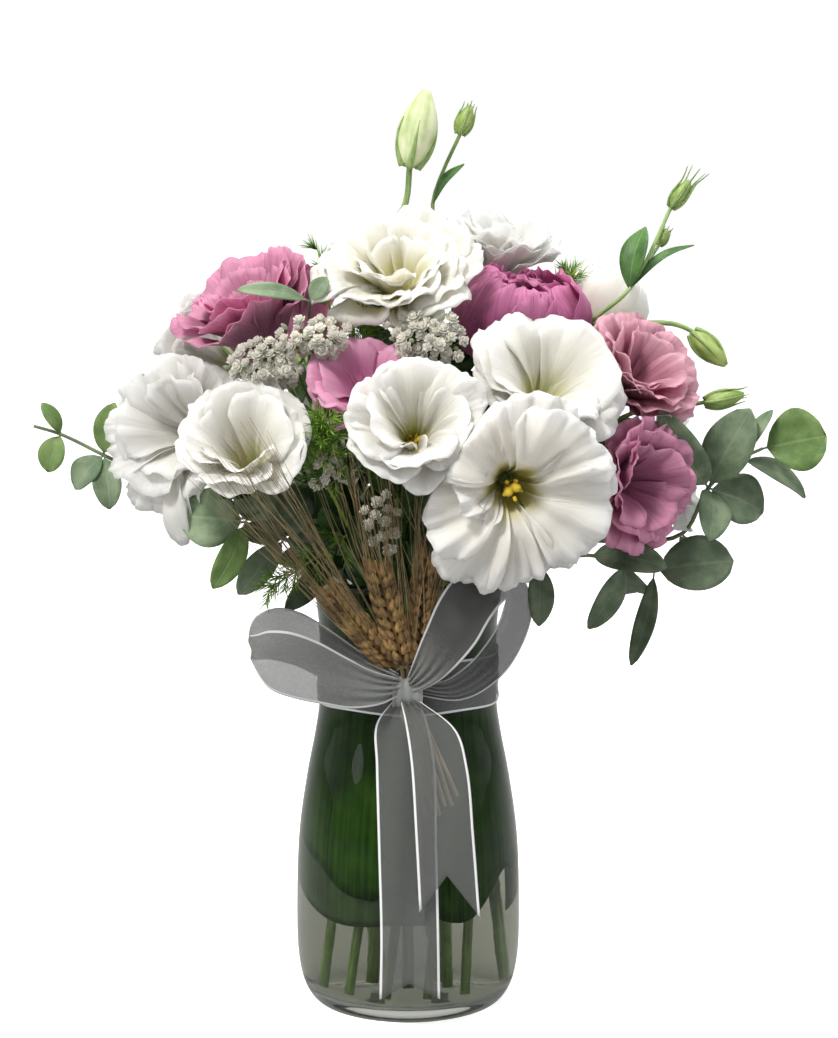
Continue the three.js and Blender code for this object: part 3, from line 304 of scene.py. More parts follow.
clear_water = clear_material(
    "clear_water", (40.0, 1.0), (160.0, 2.0), 0.008, (0.96, 0.98, 0.97, 1),
    {"Base Color": (0.95, 0.965, 0.94, 1), "IOR": 1.333},
)

WETTED = 0.12  # the water's outside lies this far inside the glass, so that no air shows between
profile = [(0, FOOT - WETTED), (24, FOOT - WETTED), (FLOOR_RADIUS - 3, FOOT + 0.3 - WETTED)]
profile += [(FLOOR_RADIUS + 2.7, FOOT + 1.9)]
profile += [(float(inner_radius(z)) + WETTED, z) for z in np.linspace(FOOT + 5, WATER_LEVEL, 24)]
edge = float(inner_radius(WATER_LEVEL))
profile += [(edge, WATER_LEVEL + 1.2), (edge - 0.7, WATER_LEVEL + 0.5), (edge - 2.5, WATER_LEVEL)]
profile += [(20, WATER_LEVEL), (0, WATER_LEVEL)]
add_piece("vase_water", [turn_round(profile)], clear_water, ["water"])

# Two broad dark leaves are wrapped round the inside of the glass with their tips down, so that they
# hide the stems in the neck. They are whole leaves, glossy, with fine ribs that run up and down.
LINER_TOP = 204
LINER_TIP = 52
LINER_NOTCH = 24
LINER_TIPS = 3
LINER_ARC = 215
LINER_THICKNESS = 0.45
PALE_ARC, PALE_TOP = 112, 125


def unit(way):
    """A direction, or a grid of directions, of length 1."""
    return way / np.maximum(np.linalg.norm(way, axis=-1, keepdims=True), 1e-9)


def sheet(grid, thickness):
    """A thin closed form round a grid of points, with its faces a little way off on both sides."""
    rows, columns = grid.shape[:2]
    normal = unit(np.cross(np.gradient(grid, axis=1), np.gradient(grid, axis=0)))
    points = np.concatenate([grid + normal * thickness / 2, grid - normal * thickness / 2]).reshape(-1, 3)
    n = rows * columns
    front = grid_faces(rows, columns)
    faces = front + [[v + n for v in reversed(face)] for face in front]
    rim = [*range(columns)]
    rim += [r * columns + columns - 1 for r in range(1, rows)]
    rim += [n - 1 - c for c in range(1, columns)]
    rim += [r * columns for r in range(rows - 2, 0, -1)]
    faces += [[b, a, a + n, b + n] for a, b in zip(rim, rim[1:] + rim[:1])]
    uv = np.stack(np.meshgrid(np.linspace(0, 1, columns), np.linspace(0, 1, rows)), -1).reshape(-1, 2)
    return points, faces, np.vstack([uv, uv])


def shader_group(name, inputs, outputs):
    """A node group with its sockets, and the sockets that its inside reads and writes."""
    group = bpy.data.node_groups.new(name, "ShaderNodeTree")
    for label, value in inputs.items():
        kind = "NodeSocketFloat" if isinstance(value, float) else "NodeSocketColor"
        group.interface.new_socket(label, in_out="INPUT", socket_type=kind).default_value = value
    for label in outputs:
        kind = "NodeSocketColor" if label == "Color" else "NodeSocketFloat"
        group.interface.new_socket(label, in_out="OUTPUT", socket_type=kind)
    return group, put(group, "NodeGroupInput").outputs, put(group, "NodeGroupOutput").inputs


def calc(tree, operation, *values):
    return put(tree, "ShaderNodeMath", dict(enumerate(values)), operation=operation).outputs[0]


def ease(tree, value, low, high, to_low=0.0, to_high=1.0):
    sockets = {"Value": value, "From Min": low, "From Max": high, "To Min": to_low, "To Max": to_high}
    return put(tree, "ShaderNodeMapRange", sockets, interpolation_type="SMOOTHSTEP").outputs["Result"]


def blend(tree, share, a, b):
    return put(tree, "ShaderNodeMix", {0: share, 6: a, 7: b}, data_type="RGBA").outputs[2]


def along_and_across(tree):
    """How far a point of a part is across it and along it, from 0 to 1."""
    uv = put(tree, "ShaderNodeUVMap", uv_map="UVMap").outputs["UV"]
    parted = put(tree, "ShaderNodeSeparateXYZ", {0: uv})
    return parted.outputs["X"], parted.outputs["Y"]


def tone_of(tree):
    return put(tree, "ShaderNodeAttribute", attribute_name="tone").outputs["Fac"]


def fibre_noise(tree, across, along, lines, stretch, detail=3.0):
    """Noise drawn out along a part, as wide as one of so many lines across it."""
    place = put(tree, "ShaderNodeCombineXYZ", {
        "X": calc(tree, "MULTIPLY", across, lines),
        "Y": calc(tree, "MULTIPLY", along, stretch),
        "Z": calc(tree, "MULTIPLY", tone_of(tree), 37.0),
    })
    return speckle(tree, 1.0, detail, Vector=place.outputs[0])


def shaded(tree, colour, low, high):
    """The colour made darker or lighter from one part to the next by the part's tone."""
    value = ease(tree, tone_of(tree), 0.0, 1.0, low, high)
    return put(tree, "ShaderNodeHueSaturation", {"Value": value, "Color": colour}).outputs["Color"]


# Fibres along a stem, a straw or a ribbed leaf
plant_fibre, read, write = shader_group(
    "plant_fibre",
    {"Dark": (0, 0, 0, 1), "Light": (1, 1, 1, 1), "Lines": 12.0, "Stretch": 3.0, "Spread": 0.2},
    ["Color", "Height"],
)
across, along = along_and_across(plant_fibre)
fibres = fibre_noise(plant_fibre, across, along, read["Lines"], read["Stretch"])
place = put(plant_fibre, "ShaderNodeTexCoord").outputs["Object"]
patches = calc(plant_fibre, "MULTIPLY", speckle(plant_fibre, 90.0, 2.0, Vector=place), 0.4)
both = calc(plant_fibre, "ADD", calc(plant_fibre, "MULTIPLY", fibres, 0.6), patches)
share = ease(plant_fibre, both, 0.36, 0.62)
colour = blend(plant_fibre, share, read["Dark"], read["Light"])
darker = calc(plant_fibre, "SUBTRACT", 1.0, read["Spread"])
lighter = calc(plant_fibre, "ADD", 1.0, read["Spread"])
plant_fibre.links.new(shaded(plant_fibre, colour, darker, lighter), write["Color"])
plant_fibre.links.new(fibres, write["Height"])


def fibrous(name, dark, light, roughness, lines=12.0, stretch=3.0, spread=0.2, depth=0.0004, **plain):
    """A material of a stem, a leaf or a straw, with fibres along it."""
    material, tree = new_material(name)
    look = {"Dark": (*dark, 1), "Light": (*light, 1), "Lines": lines, "Stretch": stretch, "Spread": spread}
    colour, height = put(tree, "ShaderNodeGroup", look, node_tree=plant_fibre).outputs
    finish_material(tree, {
        "Base Color": colour,
        "Roughness": ease(tree, height, 0.3, 0.7, roughness + 0.06, roughness - 0.06),
        "Normal": bump(tree, height, 0.5, depth),
        **plain,
    })
    return material


dark_leaf = fibrous(
    "dark_ribbed_leaf", (0.008, 0.032, 0.002), (0.024, 0.072, 0.005), 0.5,
    lines=150.0, stretch=1.6, spread=0.12, depth=0.0003, **{"Specular IOR Level": 0.03},
)
pale_leaf = fibrous(
    "pale_ribbed_leaf", (0.014, 0.036, 0.007), (0.034, 0.072, 0.018), 0.4,
    lines=60.0, stretch=1.6, spread=0.12, depth=0.0003, **{"Specular IOR Level": 0.12},
)


def liner_leaf(name, skin, facing, arc, top, low, inset, tone):
    """A leaf pressed against the wet glass, with the height of its lower edge from side to side."""
    z = top + (low - top) * np.linspace(0, 1, 21)[:, None]
    r = inner_radius(z) - LINER_THICKNESS / 2 + 0.3 - inset
    angle = np.radians(facing + np.linspace(-0.5, 0.5, len(low)) * arc)
    blade = sheet(np.stack([r * np.cos(angle), r * np.sin(angle), z], -1), LINER_THICKNESS)
    solid = "liner_leaf_back" if facing > 0 else "liner_leaf_front"
    add_piece(f"liner_leaf_{name}_blade", [blade], skin, [solid], [tone])


u = np.linspace(0, 1, 121)
tips = (0.5 - 0.5 * np.cos(2 * np.pi * LINER_TIPS * u)) * (0.4 + u * 0.6)
low = LINER_TIP + LINER_NOTCH * tips**1.2 + 1.2 * np.sin(u * 23)
# At the left the dark leaf ends higher, and a paler leaf shows below it. Where the two dark leaves
# overlap, the back one lies inside the front one.
raised = 24 * np.clip((u - 0.1) / 0.08, 0, 1) * np.clip((0.46 - u) / 0.16, 0, 1)
under = LINER_TIP - 1 + 24 * (1 - u) ** 5 + 1.5 * np.sin(u * 9)
inside = 1.6 * LINER_THICKNESS * np.clip((np.abs(u - 0.5) - 0.28) / 0.06, 0, 1)
liner_leaf("front", dark_leaf, -100, LINER_ARC, LINER_TOP, low + raised, 0, 0.62)
liner_leaf("pale", pale_leaf, -130, PALE_ARC, PALE_TOP, under, 0.7, 0.5)
liner_leaf("back", dark_leaf, 80, LINER_ARC, LINER_TOP, low, inside, 0.3)

# Each bloom is a double lisianthus: four to six broad petals outside, and whorls of smaller ones that
# stand more and more upright inside them. Petals leave the core steeply, bend outward, overlap their
# neighbours and end in a ruffled margin, which rolls back a little. Two blooms are globes, whose
# petals still close over the top.
STEEP = math.radians(78)
CORE_RADIUS = 1.6
MARGIN = (74, -6)
WHORL_RISE = 3
WHORL_STEEPER = 24
PETAL = 0.3
PETAL_STEPS = 60
DEPTH_WEIGHT = 2.2
CELL_EDGE = 8
BASE_BEHIND = 0.72
SOFT_FROM = 0.7
NEIGHBOUR = 8

# How the petals of each kind of bloom bend: the shares of their length between which they turn from
# steep to flat, how far broad folds and frills lift them, and how much they are crumpled
FLAT = dict(turns=(0.0, 0.6), fold=0.06, frill=0.065, crumple=2.4)
CUP = dict(turns=(-0.1, 0.95), fold=0.06, frill=0.028, crumple=2.2)
RUFFLED = dict(turns=(-0.1, 0.9), fold=0.08, frill=0.045, crumple=3.0)
GLOBE = dict(turns=None, fold=0.045, frill=0.03, crumple=3.2)
BLOOMS = {
    # centre, facing, radius, openness, turn, whorls of petals from outside, kind, material
    "front_right": ((48, -86, 267), (0.12, -1, -0.08), 47, 1, 0.3, (6, 5), FLAT, "throat"),
    "front_centre": ((4, -85, 296), (0.05, -0.86, 0.5), 33, 0.6, 0.2, (5, 5, 4), CUP, "greenish"),
    "upper_right": ((64, -56, 311), (0.2, -0.72, 0.62), 40, 0.85, 0.79, (4, 4, 3), CUP, "cream"),
    "top": ((-3.5, -37, 361), (-0.02, -0.6, 0.8), 39, 0.75, 0.1, (6, 5, 4, 4, 3), CUP, "lemon"),
    "top_rear": ((45, 11, 370), (0.15, -0.2, 0.96), 30, 0.6, 0.5, (6, 6, 5, 4), RUFFLED, "white"),
    "left": ((-103, -38, 288), (-0.5, -0.82, 0.28), 41, 0.85, 0.2, (6, 6, 5, 4), RUFFLED, "white"),
    "front_left": ((-74, -77, 285), (-0.05, -0.78, 0.62), 30.5, 0.55, 0.7, (5, 4, 3), CUP, "cream"),
    "rear_right": ((96, 18, 348), (0.45, 0.1, 0.88), 23, 0.3, 0.4, (4, 4, 3, 2), GLOBE, "cream"),
    "right_rear": ((124, 12, 268), (0.94, -0.1, 0.1), 34, 0.8, 0.6, (5, 5, 4), RUFFLED, "white"),
    "left_rear": ((-103, 16, 324), (-0.85, 0.2, 0.45), 30, 0.6, 0.2, (5, 5, 4), CUP, "white"),
    "pink_upper_left": ((-73, -28, 343), (-0.4, -0.3, 0.87), 37, 0.55, 0.8, (6, 6, 5, 4, 3), CUP, "mauve"),
    "pink_centre": ((-19, -62, 310), (-0.1, -0.7, 0.7), 29, 0.75, 0.3, (5, 4, 3), RUFFLED, "bright"),
    "pink_top": ((54, -18, 346), (0.1, -0.25, 0.97), 34, 0.55, 0.2, (5, 5, 4, 3), GLOBE, "magenta"),
    "pink_right": ((108, -30, 314), (0.5, -0.6, 0.6), 32, 0.65, 0.7, (5, 5, 4, 3), RUFFLED, "rose"),
    "pink_lower_right": ((105, -46, 265), (0.62, -0.78, 0), 34, 0.75, 0.4, (6, 5, 4, 4), RUFFLED, "mauve"),
    "back_pink_left": ((-62, 62, 326), (-0.45, 0.7, 0.6), 36, 0.7, 0.5, (5, 5, 4, 3), RUFFLED, "mauve"),
    "back_white_top": ((-8, 34, 360), (-0.1, 0.5, 0.86), 33, 0.75, 0.3, (5, 5, 4, 3), CUP, "white"),
    "back_pink_right": ((60, 66, 318), (0.45, 0.7, 0.55), 36, 0.7, 0.1, (6, 5, 4, 3), CUP, "rose"),
    "back_white_right": ((32, 84, 264), (0.25, 0.95, 0.1), 38, 0.85, 0.6, (5, 5, 4, 3), CUP, "cream"),
    "back_white_left": ((-46, 84, 266), (-0.4, 0.9, 0.15), 38, 0.85, 0.9, (6, 5, 4), RUFFLED, "cream"),
}


class Bloom:
    def __init__(self, centre, facing, radius, openness, spin, whorls, kind, finish):
        self.centre = np.array(centre, float)
        axis = Vector(facing).normalized()
        self.facing = np.array(axis)
        self.turn = np.array(Vector((0, 0, 1)).rotation_difference(axis).to_matrix())
        self.radius, self.openness, self.spin = radius, openness, spin
        self.whorls, self.kind, self.finish, self.extra = whorls, kind, finish, []
        margin = self.margin(0, 0)
        bend = (math.sin(margin) - math.sin(STEEP)) / (radius - CORE_RADIUS)
        self.depth = (math.cos(STEEP) - math.cos(margin)) / bend
        self.base = self.centre - BASE_BEHIND * self.depth * self.facing
        self.walls = []
        _, out, up = self.bends(0, 0)
        self.bowl = 4.5 if kind is FLAT else 0.8
        self.wide = (radius - CORE_RADIUS - self.bowl) / out.max()
        self.tall = self.depth / up.max() * (1.03 if kind is GLOBE else 1)

    def margin(self, level, tilt):
        slope = MARGIN[0] + (MARGIN[1] - MARGIN[0]) * self.openness + WHORL_STEEPER * level + tilt
        return math.radians(min(slope, 76))

    def bends(self, level, tilt):
        """The slope of a whorl's petals along them, and how far out and up they go."""
        s = np.linspace(0, 1, PETAL_STEPS + 1)
        if self.kind is GLOBE:
            # Inner petals close further over the top than outer ones.
            slope = math.radians(30) + math.radians(104 + 10 * level + tilt) * s
        else:
            low, high = self.kind["turns"]
            t = np.clip((s - low) / (high - low), 0, 1)
            slope = STEEP + (self.margin(level, tilt) - STEEP) * t * t * (3 - 2 * t)
        step = 2 * PETAL_STEPS
        out = np.concatenate([[0], np.cumsum(np.cos(slope[1:]) + np.cos(slope[:-1])) / step])
        up = np.concatenate([[0], np.cumsum(np.sin(slope[1:]) + np.sin(slope[:-1])) / step])
        return slope, out, up

    def arc(self, level, share, tilt=0.0, longer=1.0):
        """Radius, height and slope of a whorl's petals at a share of the way to their margin."""
        s = np.linspace(0, 1, PETAL_STEPS + 1)
        slope, out, up = self.bends(level, tilt)
        longer = longer * (1 - 0.1 * level - 0.04 * level**2)
        r = CORE_RADIUS + self.bowl * np.clip(s / 0.14, 0, 1) ** 0.6 + self.wide * longer * out
        h = WHORL_RISE * level + self.tall * longer * up
        return np.interp(share, s, r), np.interp(share, s, h), np.interp(share, s, slope)

    def reach(self, way):
        along = float(way @ self.facing)
        depth = 1.1 - BASE_BEHIND if along > 0 else BASE_BEHIND + 0.15
        return self.radius * math.sqrt(1 - along**2) + depth * self.depth * abs(along)

    def bent_clear(self, points):
        """Points of the bloom bent clear of its neighbours."""
        out = points - self.centre
        share = sum(np.maximum(0, out @ normal / far) ** CELL_EDGE for normal, far in self.walls)
        share = np.maximum(share, 1e-12) ** (1 / CELL_EDGE)
        soft = SOFT_FROM + (1 - SOFT_FROM) * np.tanh((share - SOFT_FROM) / (1 - SOFT_FROM))
        drawn_in = self.centre + out * (soft / share)[..., None]
        return np.where((share > SOFT_FROM)[..., None], drawn_in, points)

    def at(self, r, angle, h):
        r, angle, h = np.broadcast_arrays(*(np.asarray(v, float) for v in (r, angle, h)))
        flat = np.stack([r * np.cos(angle), r * np.sin(angle), h], -1)
        return self.bent_clear(flat @ self.turn.T + self.base)


blooms = {name: Bloom(*facts) for name, facts in BLOOMS.items()}
# Small petals stand folded beside the throat of the widest bloom, at the camera's left, and a few
# single ones stand out from others: level of its whorl, middle, half width, tilt and length.
blooms["front_right"].extra = [
    (0.7, 3.3, 0.42, 22, 0.62), (1.0, 3.9, 0.4, 26, 0.5),
    (0.8, 2.5, 0.35, 20, 0.42), (-0.05, 4.3, 0.42, -4, 1.12),
]
blooms["left"].extra = [(0.0, 4.3, 0.17, -14, 1.35), (0.1, 4.75, 0.2, -8, 1.15)]
blooms["pink_top"].extra = [(0.5, 0.4, 0.9, 24, 1.1), (0.7, 2.5, 0.9, 26, 1.1), (0.9, 4.6, 0.9, 28, 1.1)]
blooms["front_centre"].extra = [(0.9, 4.3, 0.5, 14, 0.75), (1.2, 5.1, 0.4, 16, 0.65)]
blooms["top"].extra = [
    (-0.3, 3.4, 0.42, -14, 1.25), (-0.3, 4.1, 0.45, -20, 1.12), (-0.3, 4.9, 0.45, -20, 1.08),
]
INTERLEAVED = 1.6  # how far petals of two blooms may pass between each other
for one in blooms.values():
    for other in blooms.values():
        if other is one:
            continue
        between = other.centre - one.centre
        way = between * (1, DEPTH_WEIGHT, 1)
        way = way / np.linalg.norm(way)
        apart, mine, theirs = float(between @ way), one.reach(way), other.reach(-way)
        if mine + theirs + NEIGHBOUR >= apart:
            one.walls.append((way, apart * mine / (mine + theirs) - 0.75 + INTERLEAVED))


def petal(bloom, level, middle, half, rng, rows, columns, tilt=0.0, longer=1.0):
    """One petal of a whorl, from the core to its margin and from edge to edge."""
    kind = bloom.kind
    s = np.linspace(0.03, 1, rows)[:, None]
    u = np.linspace(-1, 1, columns)[None, :]
    wide = 0.6 + 0.4 * np.minimum(1, s / 0.6)
    angle = middle + half * wide * u
    phase = rng.uniform(0, 6.3)
    reach = bloom.radius * (1 - 0.2 * level)
    # Waves are as long on an inner petal as on an outer one: broad folds, frills and fine crimps.
    broad = np.sin(reach / 5.5 * angle + phase + 0.8 * s)
    frill = np.sin(reach / 2.4 * angle + 1.3 * np.sin(3 * angle + phase) + 2 * level)
    crimp = np.sin(reach / 0.95 * angle + 2 * phase)
    corners = 1 - 0.07 * u**2 - 0.15 * np.abs(u) ** 6
    nicks = 0.024 * broad + 0.014 * np.sin(reach / 1.6 * angle + phase) + 0.01 * crimp
    share = s * corners * (1 + nicks * s**3)
    r, h, slope = bloom.arc(level, share, tilt, longer)
    hollow = -0.05 * (1 - u**2) * np.sin(np.pi * s)
    rolled = -rng.uniform(0.03, 0.12) * np.clip((s - 0.72) / 0.28, 0, 1) ** 2
    lift = (
        (0.08 + rng.uniform(-0.02, 0.03)) * u * s
        + kind["fold"] * s**1.6 * broad
        + kind["frill"] * s**2.6 * frill
        + 0.3 * kind["frill"] * s**6 * crimp
        + hollow + rolled
    ) * bloom.radius * (1 - 0.16 * level)
    points = bloom.at(r - lift * np.sin(slope), angle, h + lift * np.cos(slope))
    shift = Vector((rng.uniform(0, 100), 0, 0))
    crumple = [
        noise.noise(Vector(p * 0.07) + shift) + 0.4 * noise.noise(Vector(p * 0.19) + shift)
        for p in points.reshape(-1, 3)
    ]
    crumple = np.array(crumple).reshape(points.shape[:2]) * kind["crumple"] * s
    return sheet(points + bloom.facing * crumple[..., None], PETAL)


def bloom_parts(bloom, rng):
    parts, tones = [], []
    seen = bloom.centre[1] < 0
    for k, count in enumerate(bloom.whorls):
        level = 0.42 * k + 0.02 * k**2
        rows, columns = ((14, 35) if k < 2 else (13, 21)) if seen else (11, 17)
        for index in range(count):
            middle = 2 * math.pi * (index + 0.5 * k + rng.uniform(-0.1, 0.1)) / count + bloom.spin
            half = rng.uniform(1.2, 1.36) * math.pi / count
            tilt, longer = rng.uniform(-8, 6), rng.uniform(0.93, 1.05)
            parts.append(petal(bloom, level, middle, half, rng, rows, columns, tilt, longer))
            tones.append(rng.random())
    for level, middle, half, tilt, longer in bloom.extra:
        parts.append(petal(bloom, level, middle, half, rng, 17, 25, tilt, longer))
        tones.append(0.6)
    return parts, tones


petal_tissue, read, write = shader_group(
    "petal_tissue",
    {
        "Throat": (0, 0, 0, 1), "Body": (1, 1, 1, 1), "Margin": (1, 1, 1, 1), "Vein": (1, 1, 1, 1),
        "Throat End": 0.5, "Veining": 0.3,
    },
    ["Color", "Height"],
)
across, along = along_and_across(petal_tissue)
veins = fibre_noise(petal_tissue, across, along, 26.0, 2.2)
fine_veins = fibre_noise(petal_tissue, across, along, 80.0, 5.0, 2.0)
body = blend(
    petal_tissue, ease(petal_tissue, along, 0.1, read["Throat End"]), read["Throat"], read["Body"]
)
body = blend(petal_tissue, ease(petal_tissue, along, 0.6, 1.0), body, read["Margin"])
vein_share = calc(petal_tissue, "MULTIPLY", ease(petal_tissue, veins, 0.5, 0.72), read["Veining"])
body = blend(petal_tissue, vein_share, body, read["Vein"])
petal_tissue.links.new(shaded(petal_tissue, body, 0.93, 1.04), write["Color"])
height = calc(petal_tissue, "ADD", veins, calc(petal_tissue, "MULTIPLY", fine_veins, 0.5))
petal_tissue.links.new(height, write["Height"])


def petal_material(name, throat, body, margin, vein, throat_end, veining, glow=0.42):
    """A thin petal's material, whose veins are raised a little and which light shines through."""
    material, tree = new_material(name)
    look = {"Throat": (*throat, 1), "Body": (*body, 1), "Margin": (*margin, 1), "Vein": (*vein, 1)}
    look |= {"Throat End": throat_end, "Veining": veining}
    colour, height = put(tree, "ShaderNodeGroup", look, node_tree=petal_tissue).outputs
    normal = bump(tree, height, 0.35, 0.0012)
    skin = {
        "Base Color": colour, "Roughness": ease(tree, height, 0.4, 1.1, 0.62, 0.5), "Normal": normal,
        "Specular IOR Level": 0.35, "Sheen Weight": 0.15, "Sheen Roughness": 0.4,
    }
    finish_material(tree, skin, {"Color": colour, "Normal": normal}, glow)
    return material


PETAL_LOOKS = {
    # material, colours of the throat, body, margin and veins, end of the throat, veining, glow
    "throat": ("white_petal_green_throat", (0.8, 0.76, 0.24), (0.93, 0.91, 0.86),
               (0.95, 0.945, 0.93), (0.86, 0.84, 0.78), 0.38, 0.4),
    "greenish": ("white_petal_green_centre", (0.62, 0.64, 0.12), (0.93, 0.915, 0.85),
                 (0.95, 0.945, 0.93), (0.87, 0.86, 0.78), 0.5, 0.35),
    "cream": ("white_petal_cream_centre", (0.8, 0.8, 0.36), (0.93, 0.915, 0.85),
              (0.95, 0.945, 0.925), (0.87, 0.86, 0.78), 0.55, 0.35),
    "lemon": ("white_petal_lemon_centre", (0.86, 0.82, 0.28), (0.94, 0.92, 0.8),
              (0.96, 0.955, 0.92), (0.88, 0.86, 0.74), 0.85, 0.35),
    "white": ("white_petal", (0.82, 0.82, 0.55), (0.93, 0.92, 0.89),
              (0.95, 0.95, 0.94), (0.88, 0.875, 0.83), 0.4, 0.35, 0.6),
    "mauve": ("pink_petal_mauve", (0.6, 0.45, 0.28), (0.58, 0.225, 0.37),
              (0.76, 0.37, 0.53), (0.47, 0.14, 0.28), 0.35, 0.55),
    "bright": ("pink_petal_bright", (0.68, 0.47, 0.3), (0.8, 0.34, 0.57),
               (0.88, 0.49, 0.68), (0.68, 0.23, 0.46), 0.3, 0.45),
    "magenta": ("pink_petal_magenta", (0.5, 0.28, 0.2), (0.53, 0.125, 0.32),
                (0.7, 0.26, 0.47), (0.4, 0.065, 0.22), 0.3, 0.55),
    "rose": ("pink_petal_rose", (0.66, 0.52, 0.32), (0.66, 0.31, 0.41),
             (0.86, 0.53, 0.62), (0.54, 0.19, 0.28), 0.35, 0.55),
}
petal_skins = {finish: petal_material(*look) for finish, look in PETAL_LOOKS.items()}
for seed, (name, bloom) in enumerate(blooms.items()):
    rng = random.Random(100 + seed)
    parts, tones = bloom_parts(bloom, rng)
    slot = "pink_petal" if "pink" in name else "white_petal"
    add_piece(f"petals_{name}", parts, petal_skins[bloom.finish], [f"bloom_{name}"], tones)

# In the throat of the two open blooms stand a two-lobed stigma and five anthers round it, all of them
# yellow with pollen.
STIGMAS = {"front_right": 27, "front_centre": 13}
STAMEN_FOOT = 9.3
ANTHERS = 5


def tube(path, radii, sides=8):
    """A closed round form along a path, with its own radius at each point."""
    path = np.asarray(path, float)
    radii = np.broadcast_to(np.asarray(radii, float), len(path))
    angle = np.arange(sides)[:, None] * 2 * np.pi / sides
    ahead = unit(np.gradient(path, axis=0))
    side = np.cross(ahead[0], (0.31, 0.94, 0.12))
    rings = []
    for point, way, radius in zip(path, ahead, radii):
        side = unit(side - way * (side @ way))
        rings.append(point + radius * (np.cos(angle) * side + np.sin(angle) * np.cross(way, side)))
    far = np.concatenate([[0], np.cumsum(np.linalg.norm(np.diff(path, axis=0), axis=1))])
    return closed_rings(np.array(rings), (path[0], path[-1]), far / max(far[-1], 1e-9))


def pod(foot, tip, width, sides=12, rings=12, blunt=0.5):
    """A plump closed form from its foot to its tip, like a grain, an anther or a bud."""
    t = np.linspace(0, 1, rings)
    foot, tip = np.asarray(foot, float), np.asarray(tip, float)
    swell = np.sin(np.pi * t**0.8) ** blunt
    return tube(foot + (tip - foot) * t[:, None], np.maximum(swell * width / 2, 0.02), sides)


pollen, tree = new_material("yellow_pollen")
grit = speckle(tree, 900.0, 3.0)
colour = blend(tree, ease(tree, grit, 0.4, 0.62), (0.92, 0.58, 0.02, 1), (1.0, 0.82, 0.1, 1))
finish_material(tree, {
    "Base Color": shaded(tree, colour, 0.75, 1.1),
    "Roughness": ease(tree, grit, 0.3, 0.7, 0.85, 0.65),
    "Normal": bump(tree, grit, 0.8, 0.0006),
})

for name, height in STIGMAS.items():
    bloom = blooms[name]
    rng = random.Random(7)
    style = [bloom.at(0, 0, h) for h in (STAMEN_FOOT - 6, STAMEN_FOOT + 2, height - 6)]
    parts = [tube(style, [1.6, 1.2, 1.0])]
    tones = [0.1]
    for k in range(2):
        # The stigma's two lobes
        a = math.pi * k + 0.6
        parts.append(pod(bloom.at(0.4, a, height - 8), bloom.at(3.2, a, height), 4.6, blunt=0.4))
        tones.append(0.75)
    for k in range(ANTHERS):
        a = 2 * math.pi * k / ANTHERS + rng.uniform(-0.2, 0.2)
        top = height - 4 + rng.uniform(-2, 2)
        stalk = smooth([bloom.at(0.6, a, STAMEN_FOOT), bloom.at(2.6, a, 14), bloom.at(4.2, a, top)], 5)
        parts.append(tube(stalk, 0.35, 6))
        tones.append(0.2)
        spread = rng.uniform(-0.5, 0.5)
        ends = [bloom.at(4.2 + d * 0.4, a + spread * d * 0.1, top + d * 2.3) for d in (-1, 1)]
        parts.append(pod(*ends, 2.0, blunt=0.35))
        tones.append(rng.uniform(0.5, 1))
    add_piece(f"anthers_{name}_cluster", parts, pollen, [f"anthers_{name}"], tones)

